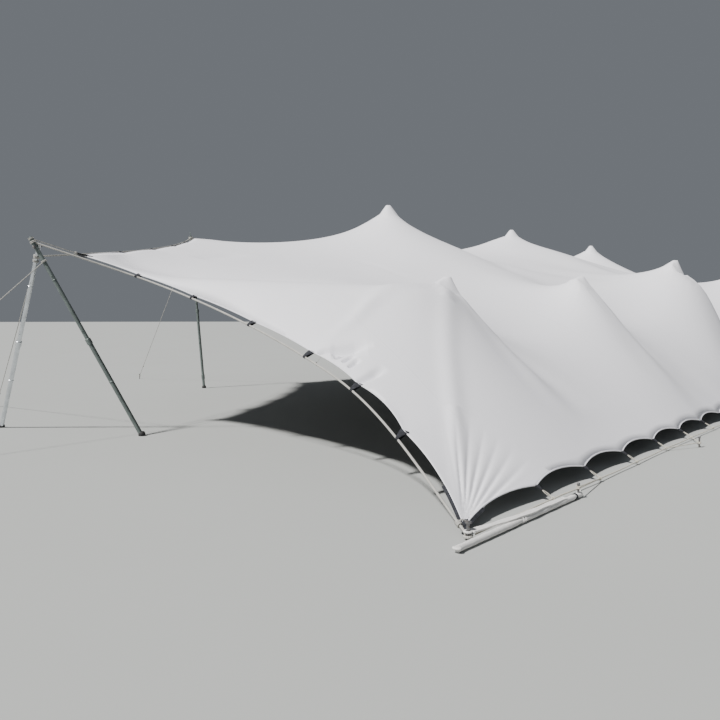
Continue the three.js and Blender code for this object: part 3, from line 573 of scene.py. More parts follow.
def tube_mesh(name, points, radius, sides=10, closed=False, flatten=1.0, radii=None):
    """A rope or roll along the points; its lay is the straightened rope."""
    spots, faces, lay = [], [], []
    run = 0.0
    rings = list(points)
    for order, (point, (side, up)) in enumerate(zip(rings, frames_along(rings))):
        if order:
            run += float(np.linalg.norm(np.array(point) - np.array(rings[order - 1])))
        reach = radius if radii is None else radii[order]
        for corner in range(sides):
            angle = 2 * math.pi * corner / sides
            x, y = reach * math.cos(angle), reach * flatten * math.sin(angle)
            spots.append(Vector(point) + side * x + up * y)
            lay.append((x, y, run))
    count = len(rings)
    for order in range(count if closed else count - 1):
        here, ahead = order * sides, (order + 1) % count * sides
        for corner in range(sides):
            after = (corner + 1) % sides
            faces.append((here + corner, here + after, ahead + after, ahead + corner))
    if not closed:
        faces.append(tuple(reversed(range(sides))))
        faces.append(tuple(range((count - 1) * sides, count * sides)))
    return meshed(name, spots, faces, lay)


def ribbon_mesh(name, points, sideways, widths, thickness):
    """A flat strap along the points, with bevelled long edges; widths has one value per point."""
    spots, faces, lay = [], [], []
    section = [(-1.0, 0.0), (-0.94, -1.0), (0.94, -1.0), (1.0, 0.0), (0.94, 1.0), (-0.94, 1.0)]
    run = 0.0
    sides = len(section)
    for order, point in enumerate(points):
        before = Vector(points[max(order - 1, 0)])
        after = Vector(points[min(order + 1, len(points) - 1)])
        way = (after - before).normalized()
        if order:
            run += (Vector(point) - before).length
        side = Vector(sideways[order])
        side = (side - way * side.dot(way)).normalized()
        up = side.cross(way)
        for across, level in section:
            x, y = across * widths[order] / 2, level * thickness / 2
            spots.append(Vector(point) + side * x + up * y)
            lay.append((x, y, run))
    for order in range(len(points) - 1):
        here, ahead = order * sides, (order + 1) * sides
        for corner in range(sides):
            after = (corner + 1) % sides
            faces.append((here + corner, ahead + corner, ahead + after, here + after))
    faces.append(tuple(range(sides)))
    faces.append(tuple(reversed(range((len(points) - 1) * sides, len(points) * sides))))
    return meshed(name, spots, faces, lay)


def winding(centre, axis, radius, cord, turns, rise=1.9):
    """Turns of cord wound round a post or rope."""
    axis = Vector(axis).normalized()
    start = Vector((0.0, 0.0, 1.0)) if abs(axis.z) < 0.9 else Vector((1.0, 0.0, 0.0))
    side = axis.cross(start).normalized()
    up = axis.cross(side)
    steps = max(8, round(turns * 14))
    points = []
    for step in range(steps + 1):
        t = step / steps
        angle = 2 * math.pi * turns * t
        out = side * math.cos(angle) + up * math.sin(angle)
        along = axis * ((t - 0.5) * turns * cord * rise)
        points.append(Vector(centre) + out * (radius + cord) + along)
    return tube_mesh("winding", points, cord, 8)


def ring_mesh(centre, reach, cord, count=20):
    """A flat closed ring of cord; reach is its half width in x and in y."""
    points = [centre + np.array([math.cos(t) * reach[0], math.sin(t) * reach[1], 0.0])
              for t in np.linspace(0, 2 * math.pi, count, endpoint=False)]
    return tube_mesh("ring", points, cord, 8, closed=True)


# Canopy


def mirrored(point):
    return np.array(point) * MIRROR


def bowed(start, end, t, bow):
    """A point on the way between two others, on a line that bows out by its bow halfway."""
    return start * (1 - t) + end * t + bow * (4 * t * (1 - t))


def scallop_at(column):
    """The scallop that a column of the canopy's grid lies in, and the share of the way along it."""
    scallop = min(int(column // STEPS_PER_SCALLOP), SCALLOPS - 1)
    return scallop, column / STEPS_PER_SCALLOP - scallop


def loop_point(loop):
    if loop == 0:
        return NEAR_CORNER
    if loop == SCALLOPS:
        return mirrored(NEAR_CORNER)
    x = -HALF_LENGTH + FIRST_SCALLOP + (loop - 1) * LOOP_PITCH
    return np.array([x, NEAR_EDGE_Y + LOOP_INSET, LOOP_HEIGHT])


def near_edge(column):
    loop, t = scallop_at(column)
    rise = np.array([0.0, sizes().scallop_inset, sizes().scallop_rise])
    return bowed(loop_point(loop), loop_point(loop + 1), t, rise)


END_SUPPORTS = [NEAR_CORNER, *END_CLOTH, HIGH_CORNER]


def end_edge(row):
    span, start = 0, 0
    while row > start + END_SPAN_ROWS[span]:
        start += END_SPAN_ROWS[span]
        span += 1
    t = (row - start) / END_SPAN_ROWS[span]
    return bowed(END_SUPPORTS[span], END_SUPPORTS[span + 1], t, END_ARCH * END_ARCH_SHARES[span])


def rope_seat(base, tip):
    base, tip = np.array(base), np.array(tip)
    return tip - (tip - base) / np.linalg.norm(tip - base) * ROPE_BELOW_TIP


FAR_POLES = [*FAR_POLES_LEFT, tuple(tuple(mirrored(end)) for end in FAR_POLES_LEFT[0])]
FAR_KNOTS = [
    (0.0, HIGH_CORNER + HIGH_ROPE_REACH),
    *[(share, rope_seat(*pole)) for share, pole in zip(FAR_SEAT_SHARES, FAR_POLES)],
    (1.0, mirrored(HIGH_CORNER + HIGH_ROPE_REACH)),
]


def far_rope(share):
    span = 0
    while span < len(FAR_BOW) - 1 and share > FAR_KNOTS[span + 1][0]:
        span += 1
    (start, a), (end, b) = FAR_KNOTS[span], FAR_KNOTS[span + 1]
    return bowed(a, b, (share - start) / (end - start), np.array(FAR_BOW[span]))


def far_support(share):
    if share <= 0:
        return HIGH_CORNER
    if share >= 1:
        return mirrored(HIGH_CORNER)
    return far_rope(share) + FAR_STRAP_REACH


def far_edge(column):
    scallop, t = scallop_at(column)
    start, end = far_support(scallop / SCALLOPS), far_support((scallop + 1) / SCALLOPS)
    return bowed(start, end, t, FAR_ARCH)


def relax(field, held, lengthwise, crosswise, rounds):
    """Each free point moves past the weighted middle of its four neighbours, round by round."""
    total = np.zeros(field.shape[:2])
    total[:, :-1] += lengthwise
    total[:, 1:] += lengthwise
    total[:-1] += crosswise
    total[1:] += crosswise
    row, column = np.indices(total.shape)
    halves = [~held & ((row + column) % 2 == half) for half in (0, 1)]
    for _ in range(rounds):
        for half in halves:
            pull = np.zeros_like(field)
            pull[:, :-1] += lengthwise[..., None] * field[:, 1:]
            pull[:, 1:] += lengthwise[..., None] * field[:, :-1]
            pull[:-1] += crosswise[..., None] * field[1:]
            pull[1:] += crosswise[..., None] * field[:-1]
            even = pull / total[..., None]
            field[half] += OVERSHOOT * (even[half] - field[half])


def paired(values, axis):
    """The mean of each two neighbours along an axis."""
    if axis:
        return (values[:, 1:] + values[:, :-1]) / 2
    return (values[1:] + values[:-1]) / 2


def canopy_grid():
    """The canopy's tensioned surface: its edges and pole heads are held and the rest relaxes."""
    u = np.linspace(0, 1, COLUMNS + 1)[None, :, None]
    v = np.linspace(0, 1, ROWS + 1)[:, None, None]
    near = np.array([near_edge(column) for column in range(COLUMNS + 1)])[None]
    far = np.array([far_edge(column) for column in range(COLUMNS + 1)])[None]
    left = np.array([end_edge(row) for row in range(ROWS + 1)])[:, None]
    ruled = near * (1 - v) + far * v + left * (1 - u) + left * MIRROR * u
    low = NEAR_CORNER * (1 - u) + mirrored(NEAR_CORNER) * u
    high = HIGH_CORNER * (1 - u) + mirrored(HIGH_CORNER) * u
    points = ruled - low * (1 - v) - high * v
    held = np.zeros(points.shape[:2], bool)
    held[[0, -1]] = True
    held[:, [0, -1]] = True
    plan, height = points[..., :2].copy(), points[..., 2:].copy()
    even_x = np.ones((ROWS + 1, COLUMNS))
    even_y = np.ones((ROWS, COLUMNS + 1))
    relax(plan, held, even_x, even_y, PLAN_ROUNDS)
    for peak, cone, side in canopy_peaks():
        fall, share = cone_fall(peak, cone, side, plan[..., 0], plan[..., 1])
        height[share < 1, 0] = peak[2] - fall[share < 1]
        held = held | (share < 1)
    firm = np.ones(held.shape)
    for route, strength in TENSION_LINES:
        _, away = near_line(-np.abs(plan[..., 0]), plan[..., 1], route)
        firm += strength * np.exp(-((away / TENSION_WIDTH) ** 2))
    across = np.linalg.norm(np.diff(plan, axis=1), axis=-1)
    deep = np.linalg.norm(np.diff(plan, axis=0), axis=-1)
    wide = paired(np.pad(across, ((0, 0), (1, 1))), 1)
    tall = paired(np.pad(deep, ((1, 1), (0, 0))), 0)
    pull_x = paired(tall, 1) / np.maximum(across, 0.001) * LENGTHWISE_PULL
    pull_y = paired(wide, 0) / np.maximum(deep, 0.001) / LENGTHWISE_PULL
    pull_x *= paired(firm, 1)
    pull_y *= paired(firm, 0)
    relax(height, held, pull_x, pull_y, HEIGHT_ROUNDS)
    return np.concatenate([plan, height], -1)


def cone_fall(peak, cone, side, x, y):
    """How far the cone round a pole head lies below it, and the share of its reach."""
    slope, sideways, frontward = cone
    dx, dy = x - peak[0], y - peak[1]
    away = np.hypot(dx, dy)
    fall = slope * away + sideways * np.maximum(side * dx, 0) + frontward * np.maximum(-dy, 0)
    return fall, away / CONE_REACH


def canopy_peaks():
    side_left = list(zip(SIDE_POLES_LEFT, SIDE_CONES_LEFT, (1.0, 1.0, 1.0)))
    side_right = [(tuple(mirrored(place)), cone, -1.0) for place, cone, _ in side_left]
    centre = [(place, CENTRE_CONE, float(np.sign(place[0]))) for place in CENTRE_POLES]
    return centre + side_left + side_right


def near_line(x, y, route):
    """Share along a route of points, and the distance from it."""
    best = np.full(x.shape, 1e9)
    share = np.zeros(x.shape)
    spans = [math.dist(a, b) for a, b in zip(route, route[1:])]
    done = 0.0
    for (ax, ay), (bx, by), span in zip(route, route[1:], spans):
        wx, wy = (bx - ax) / span, (by - ay) / span
        along = np.clip((x - ax) * wx + (y - ay) * wy, 0, span)
        dx, dy = x - ax - along * wx, y - ay - along * wy
        away = np.hypot(dx, dy)
        closer = away < best
        best = np.where(closer, away, best)
        share = np.where(closer, (done + along) / sum(spans), share)
        done += span
    return share, best


# Tension lines and creases on the left half: route, height, width at the start and at the end
CANOPY_LINES = [
    ([(-9.74, -4.36), (-10.7, -4.99), (-11.6, -5.68), (-12.6, -6.4)], 0.045, 0.10, 0.07),
    ([(-9.74, -4.34), (-10.6, -4.1), (-11.3, -4.12), (-11.8, -4.05)], 0.035, 0.10, 0.08),
    ([(-9.70, -4.40), (-9.62, -5.0), (-9.70, -6.1)], 0.05, 0.07, 0.25),
    ([(-6.04, -4.60), (-5.98, -5.2), (-6.0, -6.2)], 0.05, 0.07, 0.25),
    ([(-2.43, -5.00), (-2.36, -5.5), (-2.4, -6.3)], 0.05, 0.07, 0.25),
    ([(-9.55, -4.20), (-9.35, -4.6), (-9.2, -5.0), (-9.05, -5.9)], -0.06, 0.14, 0.35),
    ([(-5.92, -4.55), (-5.62, -5.0), (-5.45, -5.8)], -0.05, 0.10, 0.30),
    ([(-2.32, -4.95), (-2.00, -5.4), (-1.85, -6.0)], -0.05, 0.10, 0.30),
    ([(-11.82, -4.08), (-11.62, -4.30), (-11.40, -4.52)], -0.065, 0.022, 0.05),
    ([(-11.79, -4.31), (-11.60, -4.34)], -0.060, 0.019, 0.028),
    ([(-11.80, -4.42), (-11.62, -4.45)], -0.060, 0.019, 0.028),
    ([(-11.83, -4.53), (-11.66, -4.55)], -0.055, 0.019, 0.028),
    ([(-11.76, -4.22), (-11.48, -4.50)], -0.045, 0.08, 0.12),
    ([(-11.98, -4.77), (-11.80, -4.80), (-11.58, -4.82)], -0.055, 0.024, 0.05),
    ([(-12.05, -0.02), (-11.4, -0.40), (-10.6, -0.62)], -0.035, 0.10, 0.18),
    ([(-10.6, -1.2), (-9.94, -1.88), (-9.4, -2.5), (-9.2, -3.1)], -0.035, 0.16, 0.16),
    ([(-7.42, -0.80), (-7.45, -1.5), (-7.6, -2.3)], -0.014, 0.05, 0.05),
    ([(-4.45, -1.0), (-4.57, -1.74), (-4.9, -2.6), (-4.5, -3.3)], -0.05, 0.30, 0.35),
    ([(-9.9, 0.50), (-8.7, 0.78)], -0.03, 0.20, 0.20),
]

# Shares of a line over which it swells up at its start and fades at its end
LINE_SWELL, LINE_FADE = 0.12, 0.35

# Folds that fan out of the low corner: their angles, the share of the fan that fades at each
# side, how far out they are deepest, the length over which they fade and where they end
CORNER_FOLDS = 7
CORNER_FOLD_FROM, CORNER_FOLD_TO = math.radians(4), math.radians(41)
CORNER_FOLD_SIDE = 0.08
CORNER_FOLD_SWELL, CORNER_FOLD_FADE, CORNER_FOLD_REACH = 0.35, 1.1, 1.55


def canopy_relief(x, y):
    """Rise and fall of the cloth along its tension lines and gathered folds."""
    x = -np.abs(x)
    relief = np.zeros(x.shape)
    for route, height, start_width, end_width in CANOPY_LINES:
        share, away = near_line(x, y, route)
        width = start_width + (end_width - start_width) * share
        swell = np.minimum(share / LINE_SWELL, 1) * np.minimum((1 - share) / LINE_FADE, 1)
        relief += height * swell * np.exp(-((away / width) ** 2))
    dx, dy = x - NEAR_CORNER[0], y - NEAR_CORNER[1]
    reach, angle = np.hypot(dx, dy), np.arctan2(dy, dx)
    turn = (angle - CORNER_FOLD_FROM) / (CORNER_FOLD_TO - CORNER_FOLD_FROM)
    inside = np.clip(turn / CORNER_FOLD_SIDE, 0, 1)
    inside *= np.clip((1 - turn) / CORNER_FOLD_SIDE, 0, 1)
    fan = 1 - np.abs(np.sin(math.pi * CORNER_FOLDS * turn)) ** 0.6
    fade = np.clip(reach / CORNER_FOLD_SWELL, 0, 1)
    fade *= np.clip((CORNER_FOLD_REACH - reach) / CORNER_FOLD_FADE, 0, 1)
    relief -= sizes().fold_depth * 2 * fan * inside * fade
    return relief


def fine_spots():
    """Where the canopy's mesh is refined: a place, a radius and the cuts of each edge."""
    spots = [((-12.4, -6.3), 1.25, 3), ((-11.6, -4.3), 0.75, 3), ((-11.65, -4.3), 0.42, 1)]
    spots += [((x, y), 0.55, 3) for x, y, _ in SIDE_POLES_LEFT]
    spots += [((x, y), 0.20, 1) for x, y, _ in SIDE_POLES_LEFT]
    spots += [(LEFT_RIDGE, 0.35, 3)]
    spots += [((-x, y), radius, cuts) for (x, y), radius, cuts in spots]
    return spots + [(MIDDLE_RIDGE, 0.35, 3)]


def canopy_mesh():
    grid = canopy_grid()
    flat_x = np.linspace(-HALF_LENGTH, HALF_LENGTH, COLUMNS + 1)
    flat_y = np.linspace(0.0, FLAT_DEPTH, ROWS + 1)
    work = bmesh.new()
    along = work.verts.layers.float.new("along")
    deep = work.verts.layers.float.new("deep")
    corners = []
    for row in range(ROWS + 1):
        for column in range(COLUMNS + 1):
            corner = work.verts.new(grid[row, column])
            corner[along], corner[deep] = flat_x[column], flat_y[row]
            corners.append(corner)
    wide = COLUMNS + 1
    for row in range(ROWS):
        for column in range(COLUMNS):
            first = row * wide + column
            work.faces.new([corners[i] for i in (first, first + 1, first + wide + 1, first + wide)])
    for (x, y), radius, cuts in fine_spots():
        close = [
            edge for edge in work.edges
            if all(math.hypot(end.co.x - x, end.co.y - y) < radius for end in edge.verts)
        ]
        bmesh.ops.subdivide_edges(work, edges=close, cuts=cuts, use_grid_fill=True)
    mesh = bpy.data.meshes.new("canopy")
    lay = [(corner[along], corner[deep], 0.0) for corner in work.verts]
    work.verts.layers.float.remove(work.verts.layers.float["along"])
    work.verts.layers.float.remove(work.verts.layers.float["deep"])
    work.to_mesh(mesh)
    work.free()
    places = np.empty(len(mesh.vertices) * 3)
    mesh.vertices.foreach_get("co", places)
    places = places.reshape(-1, 3)
    relief = canopy_relief(places[:, 0], places[:, 1])
    places[:, 2] += relief
    for peak, cone, side in canopy_peaks():
        fall, share = cone_fall(peak, cone, side, places[:, 0], places[:, 1])
        disc = HEAD_DISC / CONE_REACH
        drawn_in = np.clip((share - disc) / (1 - disc), 0, 1) / np.maximum(share, 0.01)
        cone_height = np.minimum(peak[2] - fall * drawn_in + relief * share ** 2, peak[2])
        ceiling = np.where(share < CAP_REACH, peak[2], np.inf)
        places[:, 2] = np.where(share < 1, cone_height, np.minimum(places[:, 2], ceiling))
    mesh.vertices.foreach_set("co", places.ravel())
    keep_lay(mesh, lay)
    return mesh


def mark_underside(mesh):
    """The third value of the cloth's lay is 1 on its upper skin and -1 on its lower one, which the
    cloth's finish paints near-black as painted shade.
    """
    half = len(mesh.vertices) // 2
    upward = sum(face.normal.z for face in mesh.polygons if max(face.vertices) < half)
    lay = np.empty(len(mesh.vertices) * 3, np.float32)
    layer = mesh.attributes["lay"]
    layer.data.foreach_get("vector", lay)
    first = 1.0 if upward > 0 else -1.0
    lay[2::3] = np.where(np.arange(2 * half) < half, first, -first)
    layer.data.foreach_set("vector", lay)


def laid_on(points, lift):
    return [np.array(point) + np.array([0.0, 0.0, lift]) for point in points]


class TENT_OT_add_canopy(bpy.types.Operator):
    """One cloth held by its edges and lifted by the pole heads, with a rolled hem all round."""

    bl_idname = "tent.add_canopy"
    bl_label = "Canopy"

    def execute(self, context):
        mesh = canopy_mesh()
        canopy = bpy.data.objects.new("canopy", mesh)
        context.scene.collection.objects.link(canopy)
        bpy.ops.object.select_all(action="DESELECT")
        canopy.select_set(True)
        context.view_layer.objects.active = canopy
        thickness = canopy.modifiers.new("Thickness", "SOLIDIFY")
        thickness.thickness = sizes().cloth_thickness
        thickness.offset = 0.0
        bpy.ops.object.modifier_apply(modifier=thickness.name)
        mark_underside(canopy.data)
        finished(canopy, "canopy_cloth",
                 [f"canopy_panel_{order}" for order in range(1, 7)], 180)
        border = [near_edge(column) for column in np.arange(0, COLUMNS, 1.0)]
        border += [mirrored(end_edge(row)) for row in np.arange(0, ROWS, 1.0)]
        border += [far_edge(column) for column in np.arange(COLUMNS, 0, -1.0)]
        border += [end_edge(row) for row in np.arange(ROWS, 0, -1.0)]
        hem = tube_mesh("canopy_hem", border, sizes().hem_radius, 8, closed=True)
        finished(hem, "canopy_cloth", angle=60)
        return {"FINISHED"}


# Poles


def foot_steps(radius):
    return [(0.0, radius * 0.94), (0.006, radius), (0.03, radius), (0.052, radius * 0.8),
            (0.06, radius * 0.72)]


def band(start, end, radius):
    """A raised collar with softened edges, as steps of a turned tube."""
    edge = 0.003
    return [(start, radius - edge), (start + edge, radius), (end - edge, radius),
            (end, radius - edge)]


def inner_radius():
    return sizes().tube_radius - TUBE_STEP


def pin(base, tip, at, radius, side):
    """A spring button that stands out of a tube toward a side, at a share of its length."""
    base, tip = Vector(base), Vector(tip)
    axis = (tip - base).normalized()
    out = Vector(side) - axis * Vector(side).dot(axis)
    out.normalize()
    centre = base.lerp(tip, at)
    button = turned([(0.0, 0.010), (radius + 0.004, 0.010), (radius + 0.009, 0.007)], 12)
    return stood(button, centre, centre + out)


def capped_pole(place, joint, head_radius):
    """Steps of an upright telescopic pole: tube, collar, inner tube and a flared head."""
    tube, inner = sizes().tube_radius, inner_radius()
    top = place[2] - 0.012
    return [
        (0.012, tube), *band(0.0621, 0.085, tube + 0.006), (0.0852, tube),
        (joint - 0.07, tube), *band(joint - 0.0699, joint, tube + 0.008),
        (joint + 0.0002, inner), (top - 0.25, inner), (top - 0.14, head_radius),
        (top - 0.10, head_radius), (top - 0.06, head_radius * 0.6),
        (top - 0.02, head_radius * 0.5), (top, head_radius * 0.3),
    ]


def add_foot(name, base, radius):
    """A round rubber foot, flat on the ground under a pole."""
    foot = stood(turned(foot_steps(radius)), base, (base[0], base[1], 1.0))
    foot.name = foot.data.name = name
    finished(foot, "black_rubber")


def add_upright_pole(name, foot_name, place, joint, button_at, radii, nodes):
    """A telescopic pole with its button and foot; radii are those of its head and its foot."""
    base = (place[0], place[1], 0.0)
    tube = stood(turned(capped_pole(place, joint, radii[0])), base, place)
    button = pin(base, place, button_at, inner_radius(), (-1.0, -0.4, 0))
    finished(joined(name, [tube, button]), "aluminium_tube", nodes)
    add_foot(foot_name, base, radii[1])


class TENT_OT_add_centre_poles(bpy.types.Operator):
    """Three telescopic ridge poles with round feet and flared heads under the cloth."""

    bl_idname = "tent.add_centre_poles"
    bl_label = "Centre poles"

    def execute(self, context):
        for order, place in enumerate(CENTRE_POLES, 1):
            name = f"centre_pole_{order}"
            button_at = (CENTRE_JOINT + BUTTON_ABOVE_JOINT) / place[2]
            add_upright_pole(name, f"{name}_foot", place, CENTRE_JOINT, button_at,
                             (CENTRE_HEAD, CENTRE_FOOT),
                             [f"{name}_lower_tube", f"{name}_upper_tube"])
        return {"FINISHED"}


class TENT_OT_add_side_poles(bpy.types.Operator):
    """Six shorter poles that lift the pegged side, each with a flared head."""

    bl_idname = "tent.add_side_poles"
    bl_label = "Side poles"

    def execute(self, context):
        places = SIDE_POLES_LEFT + [tuple(mirrored(place)) for place in reversed(SIDE_POLES_LEFT)]
        for order, place in enumerate(places, 1):
            name = f"side_pole_{order}"
            add_upright_pole(f"{name}_tube", f"{name}_foot", place, place[2] * SIDE_JOINT_SHARE,
                             SIDE_BUTTON_SHARE, (SIDE_HEAD, SMALL_FOOT), [name])
        return {"FINISHED"}


class TENT_OT_add_raised_edge_poles(bpy.types.Operator):
    """Three leaning poles under the raised edge, each with a collar and a spigot at its top."""

    bl_idname = "tent.add_raised_edge_poles"
    bl_label = "Raised edge poles"

    def execute(self, context):
        tube, inner = sizes().tube_radius, inner_radius()
        for order, (base, tip) in enumerate(FAR_POLES, 1):
            run = length_of(base, tip)
            joint = run * 0.52
            steps = [
                (0.02, tube), (run * 0.06, tube), *band(run * 0.06, run * 0.09, tube + 0.008),
                (run * 0.09, tube), (joint - 0.07, tube), *band(joint - 0.07, joint, tube + 0.008),
                (joint, inner), (run - 0.03, inner), *band(run - 0.03, run, inner + 0.003),
                (run, 0.010), (run + 0.075, 0.010), (run + 0.087, 0.005),
            ]
            shaft = stood(turned(steps), base, tip)
            buttons = [pin(base, tip, share, tube, (-1.0, -0.3, 0)) for share in (0.30, 0.56)]
            pole = joined(f"raised_edge_pole_{order}_tube", [shaft, *buttons])
            finished(pole, "galvanised_tube", [f"raised_edge_pole_{order}"])
            add_foot(f"raised_edge_pole_{order}_foot", base, SMALL_FOOT)
        return {"FINISHED"}


def leg_normal():
    normal = np.cross(LEG_NEAR_FOOT - CROSSING, LEG_FAR_FOOT - CROSSING)
    return normal / np.linalg.norm(normal)


def leg_ends(foot, side, stick_out):
    top = CROSSING + leg_normal() * side * (LEG_RADIUS + 0.001)
    run = np.linalg.norm(top - foot)
    return foot, top, foot + (top - foot) * (1 + stick_out / run)


NEAR_LEG = leg_ends(LEG_NEAR_FOOT, -1, NEAR_STICK_OUT)
FAR_LEG = leg_ends(LEG_FAR_FOOT, 1, FAR_STICK_OUT)


def leg_pieces(leg):
    """A telescopic leg: lower tube, collar, upper tube with an open end, and its buttons."""
    foot, _, end = leg
    run = length_of(foot, end)
    tube, inner = sizes().tube_radius, LEG_RADIUS
    joint = run * 0.5
    steps = [
        (0.03, tube), (run * 0.28, tube), *band(run * 0.28, run * 0.28 + 0.012, tube + 0.004),
        (run * 0.28 + 0.012, tube), (joint - 0.08, tube),
        *band(joint - 0.08, joint, tube + 0.008), (joint, inner),
        (run * 0.79, inner), *band(run * 0.79, run * 0.79 + 0.012, inner + 0.005),
        (run * 0.79 + 0.012, inner), (run - 0.003, inner), (run, inner - 0.0015),
        (run - 0.0005, inner - 0.004), (run - 0.1, inner - 0.004),
    ]
    shaft = stood(turned(steps, 36), foot, end)
    buttons = [pin(foot, end, share, inner, (-0.8, -0.6, 0.1)) for share in (0.54, 0.81)]
    return [shaft, *buttons]


class TENT_OT_add_frames(bpy.types.Operator):
    """A-frame of two crossed telescopic legs at each end, bolted through at the crossing."""

    bl_idname = "tent.add_frames"
    bl_label = "A-frames"

    def execute(self, context):
        for name, leg, metal in (("near", NEAR_LEG, "galvanised_tube"),
                                 ("far", FAR_LEG, "aluminium_tube")):
            both_ends(leg_pieces(leg), f"{name}_leg_tube", metal, f"a_frame_{name}_leg")
        for name, (foot, _, _) in (("near", NEAR_LEG), ("far", FAR_LEG)):
            shoe = stood(turned(foot_steps(SMALL_FOOT)), foot, foot + np.array([0, 0, 1.0]))
            both_ends([shoe], f"{name}_leg_foot", "black_rubber")
        normal = leg_normal()
        start, end = CROSSING - normal * BOLT_HALF_LENGTH, CROSSING + normal * BOLT_HALF_LENGTH
        run = length_of(start, end)
        steps = [(0.0, 0.016), (0.003, 0.020), (0.021, 0.020), (0.0238, 0.016), (0.0238, 0.024),
                 (0.0252, 0.024), (0.0252, 0.008), (run - 0.0252, 0.008), (run - 0.0252, 0.024),
                 (run - 0.0238, 0.024), (run - 0.0238, 0.020), (run - 0.003, 0.020), (run, 0.016)]
        bolt = stood(turned(steps, 12), start, end)
        both_ends([bolt], "crossing_bolt", "steel_pin", "a_frame_bolt", 25)
        return {"FINISHED"}


def lash_point(leg, below):
    foot, top, _ = leg
    return top + (foot - top) * below / np.linalg.norm(foot - top)


def leg_way(leg):
    return leg[1] - leg[0]


# Ropes and webbing


def strap_between(rope_point, cloth_point, rope_way, rope_radius):
    """A webbing strap stitched over and under the cloth's edge and looped round the rope."""
    rope_point, cloth_point = Vector(rope_point), Vector(cloth_point)
    inward = cloth_point - rope_point
    run = inward.length
    inward.normalize()
    way = Vector(rope_way).normalized()
    up = inward.cross(way).normalized()
    if up.z < 0:
        up = -up
    widening = sizes().webbing_width - STRAP_NARROW
    hold = rope_radius + STRAP_THICKNESS
    reach = run + 0.012
    shape = [(reach, 0.004, 1.0), (run * 0.75, 0.006, 0.75), (run * 0.4, hold * 0.95, 0.35),
             (0.012, hold, 0.05)]
    shape += [(-hold * math.sin(turn), hold * math.cos(turn), 0.0)
              for turn in (0.4, 0.9, 1.4, 1.75, 2.25, 2.75)]
    shape += [(0.012, -hold, 0.05), (run * 0.4, -hold * 0.95, 0.35), (run * 0.75, -0.006, 0.75),
              (reach, -0.004, 1.0)]
    points = [rope_point + inward * out + up * level for out, level, _ in shape]
    widths = [STRAP_NARROW + widening * share for _, _, share in shape]
    return ribbon_mesh("strap", points, [way] * len(points), widths, STRAP_THICKNESS)


def leg_lashing(leg, at, cord):
    """A rope's turns round a leg of the A-frame."""
    return winding(at, leg_way(leg), LEG_RADIUS, cord, LASH_TURNS)


class TENT_OT_add_end_ropes(bpy.types.Operator):
    """Rope up each end of the tent with its webbing straps, knot and ground ring."""

    bl_idname = "tent.add_end_ropes"
    bl_label = "End ropes"

    def execute(self, context):
        radius = sizes().edge_rope_radius
        lash = lash_point(NEAR_LEG, END_LASH)
        route = [GROUND_RING, *END_ROPE, lash]
        pieces = [tube_mesh("rope", smooth_path(route, 0.08), radius),
                  leg_lashing(NEAR_LEG, lash, radius * LASH_CORD_SHARE),
                  ring_mesh(GROUND_RING, (RING_RADIUS, RING_RADIUS), radius)]
        knot_at = GROUND_RING + (END_ROPE[0] - GROUND_RING) * 0.11
        pieces.append(winding(knot_at, END_ROPE[0] - GROUND_RING, radius, 0.007, 3.5))
        tail = [knot_at + np.array(step) for step in
                ((0, 0, 0.012), (0.02, -0.012, 0.03), (0.045, -0.03, 0.016), (0.06, -0.05, -0.02))]
        pieces.append(tube_mesh("tail", smooth_path(tail, 0.01), 0.006, 8))
        hanging = [lash + np.array(step) for step in
                   ((0.02, -0.03, 0.0), (0.05, -0.05, -0.03), (0.06, -0.055, -0.10),
                    (0.058, -0.052, -0.18))]
        pieces.append(tube_mesh("hanging", smooth_path(hanging, 0.02), 0.0045, 8))
        both_ends(pieces, "end_edge_rope", "edge_rope", "end_rope", 60)
        straps = []
        for order, point in enumerate(END_ROPE):
            way = np.array(route[order + 2]) - np.array(route[order])
            straps.append(strap_between(point, END_CLOTH[order], way, radius))
        both_ends(straps, "end_straps", "black_webbing")
        return {"FINISHED"}


class TENT_OT_add_raised_edge_rope(bpy.types.Operator):
    """Rope along the raised edge from pole to pole, with webbing straps between the poles."""

    bl_idname = "tent.add_raised_edge_rope"
    bl_label = "Raised edge rope"

    def execute(self, context):
        radius = sizes().edge_rope_radius
        lash = lash_point(FAR_LEG, FAR_LASH)
        seats = [round(share * SCALLOPS) for share in FAR_SEAT_SHARES]
        pieces, route = [], [lash]
        for scallop in range(1, SCALLOPS):
            route.append(far_rope(scallop / SCALLOPS))
            if scallop in seats:
                pieces.append(tube_mesh("span", smooth_path(route, 0.12), radius))
                route = [route[-1]]
        route.append(mirrored(lash))
        pieces.append(tube_mesh("span", smooth_path(route, 0.12), radius))
        cord = radius * LASH_CORD_SHARE
        pieces.append(leg_lashing(FAR_LEG, lash, cord))
        pieces.append(leg_lashing([mirrored(end) for end in FAR_LEG], mirrored(lash), cord))
        for base, tip in FAR_POLES:
            way = np.array(tip) - np.array(base)
            pieces.append(winding(rope_seat(base, tip), way, 0.0285, radius, LASH_TURNS))
        rope = joined("raised_edge_line", pieces)
        finished(rope, "edge_rope", ["raised_edge_rope"], 60)
        straps = []
        for scallop in range(1, SCALLOPS):
            if scallop in seats:
                continue
            here = far_rope(scallop / SCALLOPS)
            way = far_rope((scallop + 0.2) / SCALLOPS) - far_rope((scallop - 0.2) / SCALLOPS)
            straps.append(strap_between(here, far_support(scallop / SCALLOPS), way, radius))
        finished(joined("raised_edge_straps", straps), "black_webbing")
        return {"FINISHED"}


def knot_offset(loop):
    """Small unevenness of the ground rope from loop to loop."""
    return np.array([0.006 * math.sin(loop * 2.3), 0.008 * math.sin(loop * 1.7 + 1), 0.0])


def ground_knot(loop):
    x = loop_point(loop)[0]
    return np.array([x, GROUND_LINE_Y, GROUND_LEVEL]) + knot_offset(loop)


